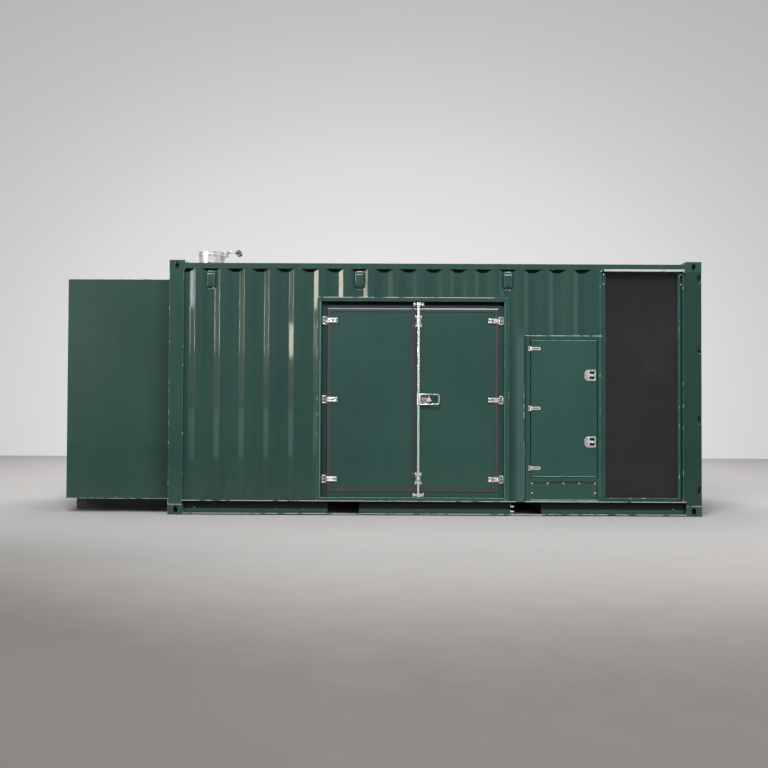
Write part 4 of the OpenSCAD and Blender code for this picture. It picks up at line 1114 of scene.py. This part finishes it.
# ---------------------------------------------------------------- walls and frames

VENT_FACE = -1.183
RAIL_WEB = FACE + 0.043
LUG_X, LUG_FACE = 1.476, -1.196


def ventilator_detail():
    """Lips, louvre slots and screws of the ventilators under the top rail. The lips are a much
    lighter green as a painted highlight, and the louvre slots are dark pieces of painted shade.
    """
    lips, rims, dark, screws = Build(), Build(), Build(), Build()
    low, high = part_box("ventilators")
    half = 0.0425
    for x in spread(low.x + half, high.x - half, 3):
        for place in both(at(x, VENT_FACE, high.z)):
            lips.tube(place, [(-43, -16, 17), (-26, -6, 22), (26, -6, 22), (43, -16, 17)], 7.0)
            lips.tube(place, [(-42, -38, 34), (42, -38, 34)], 5.0)
            rims.tube(place, [(-43, -38, 30), (-43, -176, 30)], 4.0, 8)
            rims.tube(place, [(43, -38, 30), (43, -176, 30)], 2.5, 8)
            dark.box(place, (-34, -30, 4), (34, -20, 22))
            for y in (-150, -166):
                dark.tube(place, [(-30, y, 33), (30, y, 33)], 4.0, 8)
            dark.box(place, (-34, -190, 4), (34, -181, 24))
            for side in (-27, 0, 27):
                dome(screws, place, side, -204, 5, 6.5, 4.0)
    lips.piece("ventilator_lips", "lip_paint")
    rims.piece("ventilator_rims", "green_bead")
    dark.piece("ventilator_louvres", "dark_grease")
    screws.piece("ventilator_screws", "bright_steel")


def cover_bolts():
    """Bolts of the gland plate, the drip bars and the side rails."""
    build, rail = Build(), Build()
    low, high = [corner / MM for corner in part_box("gland_plate")]
    columns = spread(low.x + 21, high.x - 29, 5)
    spots = [(x, high.z - 18) for x in columns]
    spots += [(x, low.z + 72) for x in (columns[0], columns[-1])]
    for x, z in spots:
        bolt(build, at(0.0, low.y * MM, 0.0), x, z, 0.0, 6.5, 5.0)
    low, high = [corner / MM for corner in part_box("drip_bars")]
    screen_low, screen_high = [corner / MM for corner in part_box("inlet_screens")]
    spots = [(x, low.z + 6) for x in (low.x - 18, high.x + 14)]
    for x in (screen_low.x - 30, screen_high.x + 26):
        spots += [(x, z) for z in (low.z - 28, low.z - 140)]
    for face, web in zip(both(at(0.0, FACE, 0.0)), both(at(0.0, RAIL_WEB, 0.0))):
        for x, z in spots:
            dome(build, face, x, z, 0.0, 7.0, 4.0)
        for x, z in ((-2140, 75), (3313, 75), (-1200, 60), (-900, 60)):
            bolt(rail, web, x, z, 0.0, 9.0, 7.0)
    build.piece("cover_bolts", "bright_steel")
    # The side rails' bolts are in the lighter bead green, a painted highlight.
    rail.piece("rail_bolts", "green_bead")


def pocket_fittings():
    """Two bright steel lugs in the right fork pocket, on both sides, that stand for the bright
    spots of light in the pocket: a painted highlight.
    """
    build = Build()
    for side in (0, 1):
        for z in (0.105, 0.050):
            place = both(at(LUG_X, LUG_FACE, z))[side]
            build.prism(place, rounded(-21, 21, -9, 9, 8), 0.0, 9.0)
            dome(build, place, 12, 0, 9.0, 6.0, 4.0)
    build.piece("pocket_lugs", "bright_steel", bevel=1.5)


def screen_wires():
    """Woven wire in front of each inlet screen."""
    build = Build()
    low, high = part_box("inlet_screens")
    pitch = 25.0
    width, height = (high.x - low.x) / MM, (high.z - low.z) / MM
    for place in both(at(low.x, low.y, low.z)):
        for i in range(1, int(width / pitch)):
            build.box(place, (i * pitch - 1, 2, 0.0), (i * pitch + 1, height - 2, 1.8))
        for i in range(1, int(height / pitch)):
            build.box(place, (2, i * pitch - 1, 0.6), (width - 2, i * pitch + 1, 2.4))
    build.piece("screen_wires", "screen_wire")


def hood_rivets():
    """Rivets along the hood's edges, and its lifting-eye plugs near the outer corner, in the
    lighter bead green as a painted highlight.
    """
    build = Build()
    low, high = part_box("hood_panels")
    width, height = (high.x - low.x) / MM, (high.z - low.z) / MM
    for place in both(at(low.x, low.y, low.z)):
        for z in (height - 58, height - 222):
            dome(build, place, 112, z, 0.0, 6.5, 4.0)
        for z in (1880, 1372, 824):
            dome(build, place, 98, z, 0.0, 4.5, 3.0)
        for x in spread(30, width - 60, 9):
            dome(build, place, x, 22, 0.0, 4.5, 2.5)
    build.piece("hood_rivets", "green_bead")


# ---------------------------------------------------------------- roof and exhaust

PIPE_RADIUS = 0.150
WRAP_TOP = 3.060


def exhaust_wrap():
    """Crinkled bright foil round the exhaust stack, held by two bands."""
    low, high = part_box("exhaust_collar")
    middle = (low + high) / 2
    sides = 72
    wrap, bands = Build(), Build()
    rings = []
    for z in spread(high.z, WRAP_TOP, 20):
        ring = []
        for step in range(sides):
            turn = 2.0 * math.pi * step / sides
            x, y = math.cos(turn), math.sin(turn)
            crease = noise.noise(Vector((x * 3.5, y * 3.5, z * 16.0)))
            fine = noise.noise(Vector((x * 11.0, y * 11.0, z * 45.0)))
            out = PIPE_RADIUS + 0.011 * abs(crease) + 0.004 * fine
            ring.append((middle.x + out * x, middle.y + out * y, z))
        rings.append(ring)
    wrap.loft(Matrix.Identity(4), rings)
    for z in (high.z + 0.030, WRAP_TOP - 0.020):
        place = at(middle.x, middle.y, z, "+z")
        bands.turned(place, [(157, -8), (160, -6), (160, 6), (157, 8)], 48)
        bands.box(place, (-14, -172, -7), (14, -158, 7))
    wrap.piece("exhaust_foil", "foil")
    bands.piece("exhaust_bands", "bright_steel", slot="exhaust_steel", bevel=1.0)


def rain_cap_detail():
    """The crinkled wrap round the arm's root, a clamp, and caps on the weight's ends."""
    low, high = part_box("rain_cap")
    steel, dark, wrap = Build(), Build(), Build()
    weight_x, middle_y = high.x - 0.026, (low.y + high.y) / 2
    axis = at(weight_x, middle_y, high.z - 0.026)
    for end in (-40, 40):
        cap = moved(axis, 0, 0, end)
        dark.turned(cap, [(23, -2.5), (23, 2.5)], 24)
        steel.turned(cap, [(8, -6), (8, 6)], 6)
    lump = [(30, -30), (38, -22), (36, -6), (38, 8), (35, 22), (28, 30)]
    wrap.turned(moved(axis, 0, -13), lump, 11)
    clamp = [(14, -14), (18, -8), (15, 0), (18, 9), (13, 15)]
    steel.turned(at(weight_x - 0.100, middle_y, high.z - 0.020, "+x"), clamp, 10)
    steel.piece("rain_cap_clamps", "foil", "cap_flap", bevel=1.0)
    dark.piece("rain_cap_ends", "dark_grease", "cap_flap")
    wrap.piece("rain_cap_weight", "cap_steel", "cap_flap", bevel=2.0)


def collar_bolts():
    """Eight bolts round the exhaust collar's flange."""
    build = Build()
    low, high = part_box("exhaust_collar")
    middle = (low + high) / 2
    circle, count = 174, 8
    for step in range(count):
        turn = 2.0 * math.pi * (step + 0.5) / count
        x, y = circle * math.cos(turn), circle * math.sin(turn)
        bolt(build, at(middle.x, middle.y, high.z, "+z"), x, y, 0.0, 7.0, 6.0)
    build.piece("collar_bolts", "bright_steel")


# ---------------------------------------------------------------- end doors


def end_door_detail():
    """Bolts of the rod guides, cams, and the seals round both leaves."""
    steel, dark = Build(), Build()
    low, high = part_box("end_doors")
    rods_low, rods_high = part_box("end_door_rods")
    face = high.x
    foot, height = low.z - 0.004, high.z - low.z + 0.008
    cam = [(16, -18), (18.5, -14), (18.5, 14), (16, 18)]
    for y in (-0.837, -0.349, 0.349, 0.837):
        for share in (0.06, 0.35, 0.65, 0.94):
            place = at(face, y, foot + share * height, "+x")
            for dx in (-34, 34):
                for dz in (-18, 18):
                    bolt(steel, place, dx, dz, 4.0, 5.0, 4.0)
        for z in (rods_low.z + 0.025, rods_high.z - 0.025):
            steel.turned(at(face + 0.020, y, z, "+z"), cam)
    inset = 0.012
    foot, head = low.z + inset, high.z - inset
    for side in (-1, 1):
        for z in (foot, head):
            bead(dark, (face, side * inset, z), (face, side * (high.y - inset), z), 6.0)
        for y in (0.008, high.y - 0.008):
            bead(dark, (face, side * y, foot), (face, side * y, head), 6.0)
    steel.piece("end_door_bolts", "bright_steel", slot="galvanised")
    dark.piece("end_door_seals", "seal_rubber")


def hinge_lugs():
    """The end-door hinges' outer lugs in the posts' notches, dark with painted shade, with
    chipped lower edges.
    """
    lugs, edges = Build(), Build()
    low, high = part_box("end_door_hinges")
    notch_high, lug_w = 0.100, 18.5
    y = FACE + EDGE
    for z in spread(low.z, high.z - notch_high, 4):
        beads(edges, (low.x + 0.008, y, z + 0.004), (high.x - 0.006, y, z + 0.004), 3.0)
        for place in both(at(high.x - lug_w * MM, FACE + 0.007, z)):
            lugs.prism(place, rounded(0, lug_w, 3, 97, 2), 0.0, 3.0)
    lugs.piece("hinge_lugs", "dull_hinge")
    edges.piece("hinge_edges", "green_chipped")


# ---------------------------------------------------------------- stage

BACKDROP = (
    (0.18, 0.81),
    (0.36, 0.70),
    (0.43, 0.63),
    (0.54, 0.54),
    (0.70, 0.44),
)
AMBIENT = 0.34


def studio_floor():
    """A pale floor with a painted falloff of light, darker away from the middle, that ends well
    behind the object.
    """
    mesh = bpy.data.meshes.new("studio_floor")
    outline = loop(rounded(-15.0, 15.0, -15.0, 8.3, 6.0, 12), 0.0)
    mesh.from_pydata(outline, [], [list(range(len(outline)))])
    floor = bpy.data.objects.new("studio_floor", mesh)
    bpy.context.scene.collection.objects.link(floor)
    n = Nodes("studio_floor")
    x, y = n.place()[:2]
    grain = n.noise(3.0, detail=6.0, rough=0.65)
    tone = n.math("ADD", n.span(y, -2.0, -7.2), n.span(grain, 0.2, 0.8, -0.03, 0.03))
    # Painted shade towards the front left.
    corner = n.times(n.span(y, -1.5, -4.0), n.span(x, 0.0, -5.0, 0.0, 0.50))
    n.set(Base_Color=n.blend(n.math("ADD", tone, corner), FLOOR_NEAR, FLOOR_FAR))
    n.set(Roughness=0.85, Specular_IOR_Level=0.2)
    mesh.materials.append(n.material)


def studio_world():
    """A backdrop with a soft glow behind the object, seen by the camera, metal and
    glass, and a plain grey light for everything else."""
    world = bpy.data.worlds.new("studio")
    bpy.context.scene.world = world
    world.use_nodes = True
    world.node_tree.nodes.clear()
    g = Graph(world.node_tree)
    seen = g.add("LightPath").outputs
    coords = g.add("TexCoord").outputs["Generated"]
    squeezed = g.add("Mapping", {0: coords, "Scale": (1.0, 0.0, 1.3)}).outputs[0]
    away = g.add("VectorMath", {0: squeezed}, operation="LENGTH").outputs["Value"]
    behind = g.math("LESS_THAN", g.add("SeparateXYZ", {0: coords}).outputs["Y"])
    ramp = g.add("ValToRGB", {0: g.math("MAXIMUM", away, behind)})
    points = ramp.color_ramp.elements
    while len(points) < len(BACKDROP):
        points.new(0.5)
    for point, (position, grey) in zip(points, BACKDROP):
        point.position = position
        point.color = (grey, grey, grey, 1.0)
    shown = g.add("Background", {"Color": ramp.outputs[0]}).outputs[0]
    light = g.add("Background", {"Color": WHITE, "Strength": AMBIENT}).outputs[0]
    either = seen["Is Camera Ray"]
    for ray in ("Is Glossy Ray", "Is Transmission Ray"):
        either = g.math("MAXIMUM", either, seen[ray])
    mixed = g.add("MixShader", {0: either, 1: light, 2: shown}).outputs[0]
    g.add("OutputWorld", {"Surface": mixed})


def softbox(name, place, target, size, power, colour=WHITE, diffuse=True, glossy=True):
    """A rectangular lamp of that size and power, turned to the target."""
    lamp = bpy.data.lights.new(name, "AREA")
    lamp.color = colour
    lamp.shape = "RECTANGLE"
    lamp.size, lamp.size_y = size
    lamp.energy = power
    obj = bpy.data.objects.new(name, lamp)
    obj.location = place
    obj.rotation_euler = (Vector(target) - Vector(place)).to_track_quat("-Z", "Y").to_euler()
    obj.visible_diffuse = diffuse
    obj.visible_glossy = glossy
    bpy.context.scene.collection.objects.link(obj)


def strip(name, place, target_x, size, power, colour):
    """An upright lamp that is only seen as a reflection in the paint and the metal."""
    target = (target_x, FACE, place[2])
    softbox(name, place, target, size, power, colour, diffuse=False)


def studio_lights():
    softbox("key", (-1.5, -8.5, 9.5), (0.0, -1.2, 1.0), (4.0, 2.5), 900.0)
    softbox("right_key", (7.0, -8.5, 5.0), (0.0, -1.2, 1.3), (3.0, 3.0), 420.0, glossy=False)
    softbox("rear_key", (0.0, 7.0, 8.5), (0.0, 1.2, 1.2), (6.0, 5.0), 900.0)
    softbox("right_fill", (10.0, -4.5, 3.5), (0.0, -1.2, 1.0), (4.0, 4.0), 75.0, diffuse=False)
    strip("high_strip", (-8.2, -5.93, 3.85), -0.48, (1.04, 1.1), 140.0, WARM)
    strip("low_strip", (-8.2, -5.15, 2.55), -1.05, (0.44, 0.7), 34.0, WARM)
    strip("thin_strip", (-8.2, -6.66, 2.95), -1.33, (0.20, 1.3), 150.0, WARM)
    strip("cool_strip", (-11.5, -4.83, 3.90), -2.17, (0.30, 0.95), 40.0, COOL)
    strip("low_glow", (-8.2, -5.40, 0.60), -0.8, (3.4, 1.0), 26.0, SEA)


def camera():
    """The photograph's viewpoint: 9.5 m in front of the side, 1.32 m above the ground."""
    data = bpy.data.cameras.new("camera")
    data.sensor_width = 36.0
    data.lens = 39.2
    data.clip_end = 200.0
    obj = bpy.data.objects.new("camera", data)
    obj.location = (0.015, -10.72, 1.32)
    obj.rotation_mode = "XYZ"
    obj.rotation_euler = (math.radians(91.03), math.radians(-0.25), 0.0)
    bpy.context.scene.collection.objects.link(obj)
    bpy.context.scene.camera = obj


bpy.context.scene.view_settings.view_transform = "Standard"
dress_cad_nodes()
soften_cad_nodes()
chipped_edges()
weld_lines()
frame_fold()
gland_sill()
control_door_edge()
door_hinges()
lock_bar_fittings()
handle_detail()
control_fittings()
paddle("upper")
paddle("lower")
door_linings()
seal_bulbs()
ventilator_detail()
cover_bolts()
pocket_fittings()
screen_wires()
hood_rivets()
exhaust_wrap()
rain_cap_detail()
collar_bolts()
end_door_detail()
hinge_lugs()
studio_floor()
studio_world()
studio_lights()
camera()
